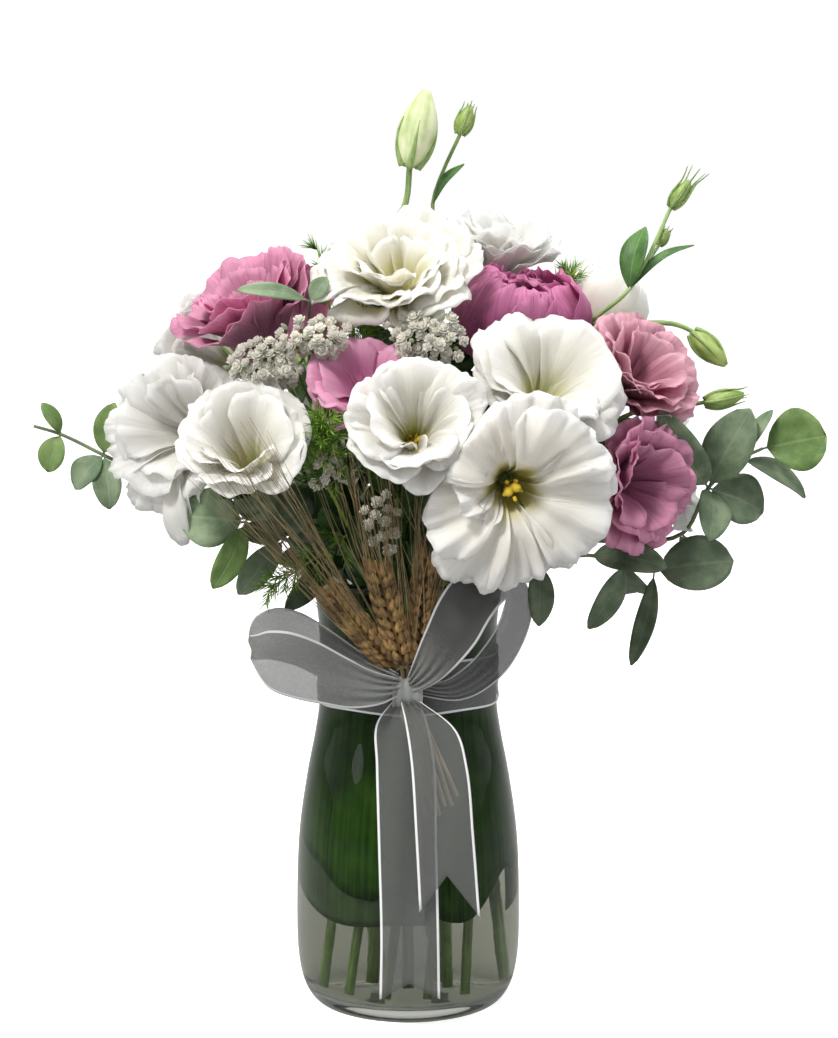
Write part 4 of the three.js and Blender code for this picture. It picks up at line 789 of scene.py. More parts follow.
# The stems stand in rings just above the floor of the vase, all of a ring turned alike, and pass the
# neck side by side. Above it they fork to the blooms, the closed buds and pairs of pointed leaves.
NECK = 205
RING_HEIGHT = 12
STEM_FOOT = 13
STEM_RADIUS = 2
BRANCH_RADIUS = 1.5
LEAF = 0.4
SEPALS = 5
FILLED_TO = 292
BUD_RINGS, BUD_SIDES = 22, 40
CIRCLES = {
    # stems in the ring, its radius in the neck and at the foot, its turn between them in degrees
    "outer": (12, 29, 35, 46), "middle": (7, 22, 21.5, 12),
    "inner": (7, 14.5, 14.5, -34), "centre": (1, 0, 3, 0),
}
TOP_FORK = (12, 2, 394)
SIDE_FORK = (106, -12, 354)
STEMS = {
    # circle and slot, fork, blooms, buds (from, path, tip, width, length of the free tips),
    # leaves (base, tip, width, upper side)
    "front_right": ("outer", 1, (28, -42, 238), ["front_right"], [], [
        ((28, -42, 238), (4, -62, 262), 17, (0.3, -0.8, 0.5)),
    ]),
    "front_centre": ("outer", 0, (-2, -38, 246), ["front_centre", "pink_centre"], [], [
        ((-2, -38, 246), (9, -56, 264), 16, (0, -0.8, 0.6)),
    ]),
    "front_left": ("outer", 11, (-34, -36, 240), ["front_left", "left"], [], [
        ((-34, -36, 240), (-60, -30, 262), 18, (0, -0.8, 0.6)),
        ((-30, -33, 228), (-49, -56, 212), 13, (0, -0.6, 0.8)),
    ]),
    "right": ("outer", 2, (48, -16, 240), ["pink_lower_right", "pink_right"], [
        (None, [(104, -6, 292), (128, -13, 297), (142, -15, 300)], (161, -16, 304), 9, 0.5),
    ], []),
    "top": ("centre", 0, (-4, -4, 262), ["top"], [
        (None, [(-27, 0, 330), (-20, 0, 374), (-2, -9, 392), (1, -9, 412)], (9, -10, 448), 18, 0),
        (None, [(22, -6, 336), (16, 4, 376), TOP_FORK, (25, 2, 427)], (30, 1, 441), 8, 0.5),
    ], [
        (TOP_FORK, (27, -1, 413), 6.5, (-0.6, -0.6, 0.5)),
        ((-4, -8, 290), (-30, -20, 304), 16, (0.3, -0.8, 0.5)),
        ((-4, -8, 290), (18, -24, 308), 15, (-0.3, -0.8, 0.5)),
        ((-4, -14, 316), (-24, -22, 338), 15, (0.4, -0.8, 0.4)),
        ((-4, -14, 316), (16, -24, 336), 14, (-0.4, -0.8, 0.4)),
    ]),
    "upper_right": ("inner", 1, (26, -12, 266), ["upper_right", "pink_top"], [], [
        ((32, -13, 282), (10, -30, 300), 16, (0.4, -0.8, 0.4)),
        ((32, -13, 282), (52, -16, 306), 16, (-0.3, -0.8, 0.5)),
        ((37, -14, 296), (18, -24, 318), 14, (0.5, -0.8, 0.3)),
        ((37, -14, 296), (60, -6, 318), 14, (-0.3, -0.7, 0.6)),
    ]),
    "rear_right": ("inner", 2, (44, 4, 262), ["rear_right"], [
        (None, [(76, -10, 312), (86, -12, 336), SIDE_FORK, (127, 8, 392)], (136, 9, 405), 8, 0.8),
        (SIDE_FORK, [(121, 5, 374)], (125, 5, 382), 5.5, 0.5),
        ((86, -12, 336), [(127, -6, 337), (137, -5, 333)], (153, -8, 317), 11.5, 0.1),
    ], [
        (SIDE_FORK, (114, -2, 383), 14, (-0.5, -0.8, 0.3)),
        (SIDE_FORK, (138, 6, 374), 6, (-0.3, -0.5, 0.8)),
    ]),
    "far_right": ("outer", 3, (52, 6, 236), ["right_rear"], [], []),
    "left": ("outer", 8, (-44, 12, 254), ["pink_upper_left", "left_rear"], [], [
        ((-44, 12, 254), (-74, 14, 258), 18, (0, 0, 1)),
    ]),
    "back_left": ("outer", 7, (-26, 34, 246), ["back_pink_left", "back_white_left"], [], [
        ((-26, 34, 246), (-38, 58, 228), 17, (0, 0.6, 0.8)),
    ]),
    "back_right": ("outer", 5, (26, 34, 246), ["back_pink_right", "back_white_right"], [], [
        ((26, 34, 246), (50, 50, 232), 17, (0, 0.6, 0.8)),
    ]),
    "top_rear": ("inner", 4, (4, 16, 284), ["top_rear", "back_white_top"], [], [
        ((10, 16, 300), (-20, 6, 318), 17, (0.2, -0.8, 0.5)),
        ((10, 16, 300), (36, 8, 322), 17, (-0.2, -0.8, 0.5)),
        ((17, 16, 314), (0, 2, 340), 15, (0.4, -0.8, 0.3)),
        ((17, 16, 314), (38, 10, 338), 14, (0, -0.8, 0.5)),
    ]),
}


def on_ring(radius, degrees, height):
    angle = math.radians(degrees)
    return np.array([radius * math.cos(angle), radius * math.sin(angle), height])


def route_through(circle, slot, foot_height, path):
    """A smooth path from low in the vase, straight to the neck and on through some points."""
    slots, radius, foot_radius, turn = CIRCLES[circle]
    degrees = 360 * slot / slots - 90
    low, neck = on_ring(foot_radius, degrees - turn, RING_HEIGHT), on_ring(radius, degrees, NECK)
    foot = low + (neck - low) * (foot_height - RING_HEIGHT) / (NECK - RING_HEIGHT)
    return smooth([foot, foot + (neck - foot) * 0.5, foot + (neck - foot) * 0.88, neck, *path], 6)


def leaf(base, tip, width, up=(0, -0.6, 0.8), arch=0.12, rounded=0.55, stalk=0.0, wave=0.02):
    """A leaf from its base to its tip, folded along the midrib and arched away from its upper side."""
    base, tip = np.asarray(base, float), np.asarray(tip, float)
    ahead = tip - base
    length = np.linalg.norm(ahead)
    side = unit(np.cross(ahead, up))
    above = np.cross(side, ahead / length)
    t = np.linspace(0, 1, 15)[:, None]
    u = np.linspace(-1, 1, 7)[None, :]
    blade = np.clip((t - stalk) / (1 - stalk), 0, 1)
    half = np.maximum(width / 2 * np.sin(np.pi * blade) ** rounded, 0.35)
    edge = wave * width * u**2 * np.sin(9 * t + 4 * u + base[0])
    lift = length * arch * np.sin(np.pi * t) + 0.22 * np.abs(u) ** 1.4 * half + edge
    grid = base + ahead * t[..., None] + side * (u * half)[..., None] + above * lift[..., None]
    return sheet(grid, LEAF)


def point_on(path, share):
    """The point at a share of the way along a path, and the path's direction there."""
    place = share * (len(path) - 1)
    i = min(int(place), len(path) - 2)
    return path[i] + (path[i + 1] - path[i]) * (place - i), unit(path[i + 1] - path[i])


def square_to(way, turn):
    """A direction at right angles to another one, turned round it."""
    way = Vector(way).normalized()
    side = way.cross((0.32, 0.2, 0.93)).normalized()
    return np.array(side * math.cos(turn) + way.cross(side) * math.sin(turn))


def sepal(bloom, angle, length, width):
    """A narrow sepal along the underside of a bloom's petals."""
    t = np.linspace(0, 1, 9)[:, None]
    u = np.linspace(-1, 1, 5)[None, :]
    r, h, slope = bloom.arc(0, 0.02 + 0.45 * t * length)
    off = 1.2 + 1.5 * t * (1 - t) + 1.5 * t**3
    r, h = r + off * np.sin(slope), h - off * np.cos(slope)
    half = width / 2 * (1 - t) ** 0.8 + 0.15
    around = angle + u * half / np.maximum(r, 2)
    return sheet(bloom.at(r + 0 * u, around, h + 0 * u), LEAF)


def branch_to(bloom, start):
    """A branch from a fork, which thickens just under the bloom, and the bloom's green base."""
    stalk = smooth([bloom.at(0, 0, -1), bloom.at(0, 0, -5), bloom.at(0, 0, -16), start], 8)
    radii = np.full(len(stalk), BRANCH_RADIUS)
    radii[:9] = np.linspace(3.4, BRANCH_RADIUS, 9)
    return [tube(stalk, radii, 10), pod(bloom.at(0, 0, -4), bloom.at(0, 0, 6), 7)]


stem_skin = fibrous("stem_green", (0.12, 0.21, 0.05), (0.28, 0.4, 0.14), 0.5, 10.0, 6.0, 0.25)

leaf_tissue, read, write = shader_group(
    "leaf_tissue",
    {"Dark": (0, 0, 0, 1), "Light": (1, 1, 1, 1), "Vein": (1, 1, 1, 1), "Veining": 0.5},
    ["Color", "Height"],
)
across, along = along_and_across(leaf_tissue)
aside = calc(leaf_tissue, "ABSOLUTE", calc(leaf_tissue, "SUBTRACT", across, 0.5))
midrib = ease(leaf_tissue, aside, 0.05, 0.005)
slant = calc(leaf_tissue, "SUBTRACT", along, calc(leaf_tissue, "MULTIPLY", aside, 0.9))
place = put(leaf_tissue, "ShaderNodeTexCoord").outputs["Object"]
wander = speckle(leaf_tissue, 110.0, 3.0, Vector=place)
phase = calc(leaf_tissue, "MULTIPLY", slant, 52.0)
phase = calc(leaf_tissue, "ADD", phase, calc(leaf_tissue, "MULTIPLY", wander, 4.0))
side_veins = ease(leaf_tissue, calc(leaf_tissue, "SINE", phase), 0.8, 1.0)
veins = calc(leaf_tissue, "MAXIMUM", midrib, calc(leaf_tissue, "MULTIPLY", side_veins, 0.45))
colour = blend(leaf_tissue, ease(leaf_tissue, wander, 0.35, 0.65), read["Dark"], read["Light"])
colour = blend(leaf_tissue, calc(leaf_tissue, "MULTIPLY", veins, read["Veining"]), colour, read["Vein"])
# The part's tone scales the colour from 0.55 to 1.35 times. Where the tones are given by where a leaf
# stands, this is painted light and shade.
leaf_tissue.links.new(shaded(leaf_tissue, colour, 0.55, 1.35), write["Color"])
leaf_tissue.links.new(calc(leaf_tissue, "SUBTRACT", wander, veins), write["Height"])


def leafy(name, dark, light, vein, roughness, veining=0.5, glow=0.15):
    """A leaf's material with a midrib and side veins, which a little light shines through."""
    material, tree = new_material(name)
    look = {"Dark": (*dark, 1), "Light": (*light, 1), "Vein": (*vein, 1), "Veining": veining}
    colour, height = put(tree, "ShaderNodeGroup", look, node_tree=leaf_tissue).outputs
    normal = bump(tree, height, 0.4, 0.0006)
    rough = ease(tree, height, 0.0, 1.0, roughness + 0.1, roughness - 0.05)
    skin = {"Base Color": colour, "Roughness": rough, "Normal": normal, "Specular IOR Level": 0.4}
    finish_material(tree, skin, {"Color": colour, "Normal": normal}, glow)
    return material


stem_leaf = leafy("lisianthus_leaf", (0.028, 0.085, 0.016), (0.06, 0.15, 0.03), (0.17, 0.28, 0.1), 0.45)
BUD_SKINS = {
    "green": fibrous("bud_green", (0.14, 0.24, 0.04), (0.38, 0.48, 0.14), 0.5, 9.0, 1.2, 0.3),
    "pale": fibrous("bud_pale", (0.36, 0.47, 0.17), (0.74, 0.79, 0.5), 0.5, 7.0, 1.0, 0.2),
}


def closed_bud(foot, tip, width, free, rng):
    """A closed bud, its furled petals wound round each other, and the sepals round it."""
    foot, tip = np.asarray(foot, float), np.asarray(tip, float)
    length = np.linalg.norm(tip - foot)
    ahead = (tip - foot) / length
    side = unit(np.cross(ahead, (0.1, 1, 0)))
    other = np.cross(ahead, side)
    t = np.linspace(0, 1, BUD_RINGS)[:, None]
    angle = (np.arange(BUD_SIDES) / BUD_SIDES * 2 * np.pi)[None, :]
    swell = np.sin(np.pi * np.clip(0.06 + 0.9 * t**0.85, 0, 1)) ** 0.75
    ribs = 1 + (0.13 * np.abs(np.sin(2 * angle + 3.2 * t)) - 0.06) * np.clip(t * 3, 0, 1)
    r = np.maximum(width / 2 * swell * ribs, 0.05)
    grid = foot + ahead * (t * length)[..., None]
    grid = grid + side * (r * np.cos(angle))[..., None] + other * (r * np.sin(angle))[..., None]
    parts = [closed_rings(grid, (foot, tip), t.ravel())]
    for k in range(SEPALS):
        a = 2 * math.pi * (k + 0.3) / SEPALS + rng.uniform(-0.2, 0.2)
        out = side * math.cos(a) + other * math.sin(a)
        reach = 0.62 + free * rng.uniform(0.7, 1.1)
        places = []
        for share in np.linspace(0, 1, 7):
            along = share * reach
            wide = width / 2 * math.sin(math.pi * min(0.06 + 0.9 * min(along, 0.97) ** 0.85, 1)) ** 0.75
            wide = max(wide, width * 0.2) + 0.25 + free * width * 0.8 * max(0, along - 0.6)
            places.append(foot + ahead * along * length + out * wide)
        parts.append(tube(smooth(places, 3), np.linspace(max(width * 0.11, 0.5), 0.2, 19), 6))
    return parts


for seed, (name, (circle, slot, fork, on, buds, leaves)) in enumerate(STEMS.items()):
    rng = random.Random(300 + seed)
    route = route_through(circle, slot, STEM_FOOT, [fork])
    stalks = [tube(route, STEM_RADIUS * np.linspace(1.1, 0.85, len(route)), 12)]
    for bloom_name in on:
        bloom = blooms[bloom_name]
        stalks += branch_to(bloom, fork)
        for k in range(SEPALS):
            angle = 2 * math.pi * k / SEPALS + 0.4
            stalks.append(sepal(bloom, angle, rng.uniform(0.75, 1.0), 4.2))
    buds_made, blades, shades = [], [], []
    for start, path, tip, width, free in buds:
        path = [start or fork, *path, np.array(path[-1]) * 0.9 + np.array(tip) * 0.1]
        thin = 0.35 + 0.06 * width
        stalks.append(tube(smooth(path, 6), np.linspace(thin + 0.3, thin, 6 * (len(path) - 1) + 1), 8))
        furled = closed_bud(path[-2], tip, width, free, rng)
        buds_made.append(furled[0])
        stalks += furled[1:]
    # Leaves at the top and side forks get a full tone, painted as lit; the others get low tones, painted
    # shade.
    for base, tip, width, up in leaves:
        blades.append(leaf(base, tip, width, up, rounded=0.75))
        shades.append(1.0 if base in (TOP_FORK, SIDE_FORK) else rng.uniform(0.1, 0.4))
    # A pair of leaves stands at the fork of each stem.
    for hand in (-1, 1):
        way = np.array([math.cos(seed * 2.4) * 0.7, math.sin(seed * 2.4) * 0.7, 0]) * hand
        out = np.array([fork[0], fork[1], 0.0]) / max(math.hypot(fork[0], fork[1]), 20)
        end = np.array(fork, float) + (way + out * 0.5 + (0, 0, 0.75)) * 20
        blades.append(leaf(fork, end, 11, up=tuple(-way + (0, 0, 0.6)), rounded=0.8, arch=-0.1))
        shades.append(rng.uniform(0.1, 0.6))
    # Broad leaves stand round the stems above the rim. Their low tones paint them dark, as painted shade
    # under the blooms.
    radial = np.array([fork[0], fork[1], 0.0]) / max(math.hypot(fork[0], fork[1]), 12)
    for share in (0.35, 0.7, 0.95):
        spot, _ = point_on(route, 1 - 6 / (len(route) - 1) * share)
        for hand in (-1, 1):
            aside = np.array([-radial[1], radial[0], 0]) * hand
            way = radial * rng.uniform(0.1, 0.5) + aside * rng.uniform(0.3, 0.7) + (0, 0, 0.9)
            end = spot + unit(way) * rng.uniform(27, 36)
            up = tuple(-radial + (0, 0, 0.3))
            blades.append(leaf(spot, end, rng.uniform(14, 18), up, rounded=0.7, arch=-0.06))
            shades.append(rng.uniform(0.0, 0.35))
    # Pairs of leaves also stand low on the branches, and fill the room under the blooms. Their tones paint
    # them darker, as painted shade there.
    for bloom_name in on:
        bloom = blooms[bloom_name]
        stalk = smooth([fork, bloom.at(0, 0, -16), bloom.at(0, 0, -5)], 10)
        for share in (0.12, 0.3, 0.5, 0.7):
            spot, ahead = point_on(stalk, share)
            if spot[2] > FILLED_TO:
                continue
            out = square_to(ahead, rng.uniform(0, 6.3))
            for hand in (-1, 1):
                end = spot + (out * hand * 0.8 + ahead * 0.6 + (0, 0, 0.1)) * rng.uniform(22, 30)
                up = tuple(ahead - hand * out * 0.6)
                blades.append(leaf(spot, end, rng.uniform(11, 15), up, rounded=0.75, arch=-0.08))
                shades.append(rng.uniform(0.0, 0.6))
    tones = [rng.uniform(0.3, 0.8) for _ in stalks]
    add_piece(f"stalks_{name}", stalks, stem_skin, [f"stem_{name}"], tones)
    add_piece(f"leaves_{name}", blades, stem_leaf, [f"stem_{name}"], shades)
    for k, furled in enumerate(buds_made):
        skin = BUD_SKINS["pale" if (name, k) == ("top", 0) else "green"]
        add_piece(f"bud_{name}_{k}", [furled], skin, [f"stem_{name}"], [0.5])

# Sprigs of eucalyptus reach out at both sides, low at the left and back, with round and pointed leaves on
# short stalks. The leaves are dull grey-green with a bloom of wax. Their tones are painted light and shade:
# the leaves low in the bouquet are painted darker as shade, the lit ones lighter, and the most lit take a
# greener material.
FOLIAGE_FOOT = 62
EUCALYPTUS = {
    # circle and slot, path, leaves (point of the path, tip, width, upper side, tone: painted light and
    # shade, low for leaves in shade and high for lit ones)
    "left": ("outer", 9, [
        (-44, 2, 232), (-90, 2, 250), (-124, -4, 262), (-146, -12, 274), (-167, -10, 284), (-180, -10, 288),
    ], [
        (3, (-140, -18, 300), 13, None, 0.8), (3, (-143, -20, 249), 14, None, 0.6),
        (3, (-160, -15, 258), 16, None, 0.5), (4, (-173, -13, 266), 14, None, 0.8),
        (4, (-176, -10, 299), 8, None, 0.85),
    ]),
    "lower_left": ("outer", 10, [(-40, -22, 222), (-58, -44, 238), (-76, -52, 247)], [
        (2, (-107, -54, 251), 28, (0, -1, 0.2), 0.75), (2, (-91, -60, 217), 14, (0.5, -0.8, 0.4), 1.0),
        (1, (-67, -44, 262), 19, (0.2, -0.9, 0.3), 0.05), (1, (-46, -40, 258), 17, (-0.3, -0.9, 0.3), 0.1),
        (0, (-42, -34, 252), 18, (0.1, -0.9, 0.3), 0.05), (0, (-62, -34, 225), 15, (0.1, -0.6, 0.7), 0.1),
        (2, (-66, -54, 267), 22, (0.2, -0.9, 0.3), 0.1), (1, (-79, -47, 241), 14, (0, -0.7, 0.6), 0.1),
        (1, (-39, -42, 234), 17, (0.1, -0.9, 0.4), 0.05),
        (1, (-80, -47, 212), 14, (-0.4, -0.8, -0.3), 0.3), (0, (-58, -44, 204), 12, (0.3, -0.9, 0.2), 0.15),
    ]),
    "right": ("outer", 4, [
        (54, 22, 230), (100, 30, 226), (134, 2, 234), (145, -10, 258), (160, -12, 272), (171, -9, 277),
    ], [
        (5, (202, -6, 283), 31, (-0.2, -1, 0.2), 0.85), (3, (164, -17, 297), 24, (-0.2, -1, 0.2), 0.5),
        (3, (118, -46, 300), 17, (-0.2, -1, 0.2), 0.5),
        (3, (143, -36, 236), 18, (0.4, -0.9, 0.3), 0.45), (3, (172, -8, 246), 25, (0.2, -0.9, 0.3), 0.3),
        (4, (193, -2, 252), 14, (0.3, -0.6, 0.7), 0.35), (4, (175, -14, 296), 8, (-0.5, -0.8, 0.2), 0.7),
        (2, (140, 14, 206), 19, (0.6, 0.6, 0.2), 0.2),
    ]),
    "lower_right": ("middle", 1, [
        (36, -32, 220), (62, -38, 226), (86, -36, 229), (104, -30, 224), (118, -28, 220),
    ], [
        (4, (156, -26, 225), 27, (-0.2, -0.95, 0.3), 0.12), (4, (107, -32, 175), 11, (-0.5, -0.8, 0.1), 0.2),
        (3, (86, -38, 194), 13, (0.3, -0.9, 0.1), 0.25), (2, (122, -48, 225), 17, (0.1, -0.9, 0.6), 0.15),
        (1, (62, -48, 197), 13, (0.2, -0.9, 0.1), 0.1), (3, (112, -4, 206), 17, (0.2, 0.6, -0.6), 0.2),
    ]),
    "back": ("outer", 6, [(-4, 48, 226), (-8, 86, 222), (-10, 112, 230), (-6, 126, 246)], [
        (3, (-2, 136, 276), 24, (0, 0.9, -0.3), 0.6), (2, (22, 126, 234), 22, (0, 0.9, 0.3), 0.4),
        (2, (-42, 122, 232), 22, (0, 0.9, 0.3), 0.5),
        (1, (18, 104, 208), 19, (0.3, 0.7, 0.5), 0.3), (1, (-34, 102, 206), 19, (-0.3, 0.7, 0.5), 0.35),
    ]),
}
# A thin sprig of the lower left one passes up between the blooms and ends over the pink one.
SPRIG = [(-40, -22, 222), (-45, -12, 268), (-47, -16, 318), (-46, -42, 344), (-45, -58, 351)]
SPRIG_LEAVES = [((-78, -68, 357), 8), ((-37, -58, 362), 9)]
gum_leaf = leafy(
    "eucalyptus_leaf", (0.125, 0.19, 0.105), (0.22, 0.29, 0.175), (0.34, 0.42, 0.29), 0.6, 0.3, 0.1
)
lit_gum_leaf = leafy(
    "lit_eucalyptus_leaf", (0.095, 0.17, 0.045), (0.16, 0.24, 0.075), (0.25, 0.34, 0.16), 0.5, 0.3, 0.2
)
gum_twig = fibrous("eucalyptus_twig", (0.09, 0.12, 0.06), (0.2, 0.24, 0.12), 0.6, lines=8.0, stretch=8.0)
for seed, (name, (circle, slot, path, leaves)) in enumerate(EUCALYPTUS.items()):
    route = route_through(circle, slot, FOLIAGE_FOOT, path)
    twigs = [tube(route, np.linspace(1.6, 0.8, len(route)), 8)]
    duller_blades, lit_blades = [], []
    for at_point, tip, width, up, shade in leaves:
        arch = -0.1 if (name, tip) == ("lower_right", (107, -32, 175)) else 0.12
        blade = leaf(path[at_point], tip, width, up or (0, -0.6, 0.8), arch, stalk=0.08, wave=0.03)
        # A leaf with a tone of 0.8 or more is painted as lit, in the greener material.
        (lit_blades if shade >= 0.8 else duller_blades).append((blade, shade))
    if name == "lower_left":
        twigs.append(tube(smooth(SPRIG, 6), np.linspace(0.9, 0.6, 25), 8))
        for tip, width in SPRIG_LEAVES:
            duller_blades.append((leaf(SPRIG[-1], tip, width, (0.2, -0.8, 0.5), stalk=0.1), 0.7))
    solid, tones = [f"eucalyptus_{name}"], [0.5] * len(twigs)
    add_piece(f"twig_{name}", twigs, gum_twig, solid, tones)
    for label, some, skin in (("gum_leaves", duller_blades, gum_leaf), ("lit_leaves", lit_blades, lit_gum_leaf)):
        if some:
            blades, shades = zip(*some)
            add_piece(f"{label}_{name}", blades, skin, solid, shades)

# Three ears of bearded wheat are tied in front of the neck. Their straws pass between the ribbon's
# band and its knot, and their cut ends lie against the glass below. Long fine awns fan up and left.
TIE = 166
LAID_CLEAR = 1.6
TIED_CLEAR = 2.6
WHEAT = {
    # x at the knot, x and z of the cut end, the ear's two ends, the point its awns lead to, spikelets
    "left": (-2.7, (9, 104), (-5.4, -49.3, 176.6), (-39, -67, 219), (-84, -128, 296), 22),
    "middle": (0, (15, 106), (-1.6, -50.9, 178.4), (-15, -71, 232), (-26, -99, 290), 18),
    "right": (2.7, (21, 110), (4.6, -49.6, 176.4), (9.5, -61, 237), (12, -86, 276), 20),
}


def on_glass(x, z, clear):
    return np.array([x, -math.sqrt((glass_radius(z) + clear) ** 2 - x * x), z])


ear_skin = fibrous("wheat_ear", (0.085, 0.046, 0.013), (0.32, 0.19, 0.064), 0.6, 7.0, 3.0, 0.35)
cut_straw = fibrous("cut_straw", (0.4, 0.3, 0.16), (0.72, 0.58, 0.36), 0.55, 5.0, 5.0)
straw_skin = fibrous("wheat_straw", (0.15, 0.105, 0.045), (0.36, 0.27, 0.13), 0.55, 5.0, 5.0)
for seed, (name, (tie, (foot_x, foot_z), base, tip, lead, count)) in enumerate(WHEAT.items()):
    rng = random.Random(500 + seed)
    base, tip, lead = (np.array(p, float) for p in (base, tip, lead))
    axis = unit(tip - base)
    side = unit(np.cross(axis, (0, 1, 0)))
    depth = np.cross(side, axis)
    if depth[1] > 0:
        depth = -depth
    halfway = foot_x + (tie - foot_x) * 0.6
    straw = [on_glass(foot_x, foot_z, LAID_CLEAR), on_glass(halfway, 142, LAID_CLEAR)]
    straw += [on_glass(tie, TIE - 10, TIED_CLEAR), on_glass(tie, TIE + 10, TIED_CLEAR), base]
    # A second straw, cut off a little higher, lies beside the first below the knot.
    beside = [on_glass(foot_x + 2.8, foot_z + 4, LAID_CLEAR), on_glass(halfway + 1.6, 142, LAID_CLEAR)]
    beside.append(on_glass(tie + 0.4, TIE - 6, TIED_CLEAR))
    straws = [tube(smooth(straw, 6), np.linspace(1.1, 0.9, 25)), tube(smooth(beside, 6), 1.0)]
    grains, awns = [tube([base, (base + tip) / 2, tip], [0.9, 0.8, 0.5])], []
    for k in range(count):
        # A plump grain to the left or the right, a slimmer one in front of it and one behind.
        share = (k + 0.2) / count
        hand = 1 if k % 2 else -1
        root = base + (tip - base) * share * 0.94
        girth = math.sin(math.pi * (0.22 + 0.7 * share)) ** 0.6
        for out, size, lean in ((0.0, 1.0, 1.0), (1.7, 0.82, 0.55), (-1.7, 0.8, 0.6)):
            start = root + side * hand * 1.7 * lean + depth * out * 0.6
            far = rng.uniform(9.6, 11.2) * size
            way = unit(axis + side * hand * 0.5 * lean * girth + depth * out * 0.06)
            end = start + way * far
            bowed = smooth([start, start + way * far * 0.45 + side * hand * 1.1 * lean, end], 5)
            t = np.linspace(0, 1, len(bowed))
            swell = np.maximum(np.sin(np.pi * t**0.75) ** 0.8 * 2.35 * size * (0.75 + 0.25 * girth), 0.05)
            grains.append(tube(bowed, swell, 8))
            if rng.random() < 0.75:
                aim = lead + side * (rng.uniform(-0.5, 0.5) * 34 + hand * 8) + depth * rng.uniform(-8, 8)
                reach = rng.uniform(0.7, 1.0)
                middle = end + (aim - end) * reach * 0.5 + side * hand * rng.uniform(0, 3)
                awn = smooth([end - way * 1.5, middle, end + (aim - end) * reach], 4)
                awns.append(tube(awn, np.linspace(0.25, 0.09, len(awn)), 4))
    made = (("straws", straws, cut_straw), ("ear", grains, ear_skin), ("awns", awns, straw_skin))
    for label, parts, skin in made:
        tones = [rng.uniform(0.1, 1) for _ in parts]
        add_piece(f"{label}_{name}", parts, skin, [f"wheat_{name}"], tones)

# A band of sheer ribbon goes once round the neck, and a bow of the same ribbon is tied over it and
# over the straws: two loops, two tails that end in a notch, and a flat knot.
BAND_LOW, BAND_HIGH = 153, 178
BAND_TURN = 364
RIBBON = 0.25
RIBBON_WIDTH = 30
SLACK = 1.04
KNOT = on_glass(0, TIE, 8.35)


def sheer(name, shade, density, lit_hem, at_ends=None):
    """The ribbon's cloth. White organza is painted a dark grey here as painted shade, and each piece's shade
    scales that grey as painted light and shade. Toward the ends a loop is painted lighter by at_ends, as
    painted light, and lit_hem sets how bright the satin edges are painted in each piece's light. Where it is
    gathered it is denser.
    """
    material, tree = new_material(name)
    across, along = along_and_across(tree)
    edge = calc(tree, "ABSOLUTE", calc(tree, "SUBTRACT", across, 0.5))
    hem = ease(tree, edge, 0.452, 0.464)
    uneven = ease(tree, speckle(tree, 45.0, 2.0), 0.35, 0.65)
    weft = calc(tree, "SINE", calc(tree, "MULTIPLY", along, 1400.0))
    warp = calc(tree, "SINE", calc(tree, "MULTIPLY", across, 420.0))
    weave = calc(tree, "MULTIPLY", calc(tree, "ADD", calc(tree, "ADD", weft, warp), 2.0), 0.25)
    # The two greys are white organza painted dark as painted shade; the uneven mix between them is the
    # cloth's own.
    cloth = blend(tree, uneven, (0.155, 0.166, 0.162, 1), (0.19, 0.192, 0.182, 1))
    # The loops are painted paler at both ends, by the knot, as painted light; away from it they keep the
    # piece's painted shade.
    to_end = calc(tree, "ABSOLUTE", calc(tree, "SUBTRACT", along, 0.5))
    light = ease(tree, to_end, 0.3, 0.5, shade, at_ends or shade)
    lit = put(tree, "ShaderNodeHueSaturation", {"Color": cloth, "Value": light}).outputs["Color"]
    threads = ease(tree, weave, 0.0, 1.0, density, density + 0.04)
    height = calc(tree, "ADD", calc(tree, "MULTIPLY", weave, 0.08), hem)
    finish_material(tree, {
        "Base Color": blend(tree, hem, lit, (lit_hem, lit_hem, lit_hem * 1.02, 1)),
        "Roughness": ease(tree, hem, 0.0, 1.0, 0.5, 0.35),
        "Sheen Weight": 0.1,
        "Specular IOR Level": 0.25,
        "Normal": bump(tree, height, 0.4, 0.0004),
        "Alpha": calc(tree, "MAXIMUM", threads, hem),
    })
    return material


def ribbon(stations, cut, seed):
    """A strip through stations of a middle point, a direction across and a width, pleated where it
    is narrow. With a cut, its end has a notch of that share of its length."""
    rows = []
    for middle, across, width in stations:
        rows.append(np.concatenate([middle, unit(np.array(across, float)), [width]]))
    line = smooth(rows, 8)
    n = len(line)
    v = np.linspace(-0.5, 0.5, 33)[None, :]
    t = np.linspace(0, 1, n)[:, None]
    place = t * (1 - cut * (1 - np.abs(2 * v))) * (n - 1)
    below = np.clip(np.floor(place).astype(int), 0, n - 2)
    part = (place - below)[..., None]
    on = line[below] * (1 - part) + line[below + 1] * part
    middle, across, width = on[..., :3], unit(on[..., 3:6]), on[..., 6]
    normal = unit(np.cross(np.gradient(middle, axis=0), across))
    near_knot = np.clip(1 - np.minimum(t, 1 - t) / 0.28, 0, 1)
    gathered = np.clip(1 - width / RIBBON_WIDTH, 0, 1) * np.minimum(1, 1.6 * near_knot)
    pleats = 1.6 * gathered * np.sin(2 * np.pi * 4.5 * v + seed)
    waves = 0.5 * np.sin(2 * np.pi * 1.5 * v + 7 * t + seed)
    return sheet(middle + across * (width * v)[..., None] + normal * (pleats + waves)[..., None], RIBBON)


def strip_length(stations):
    return float(sum(np.linalg.norm(np.subtract(b[0], a[0])) for a, b in zip(stations, stations[1:])))


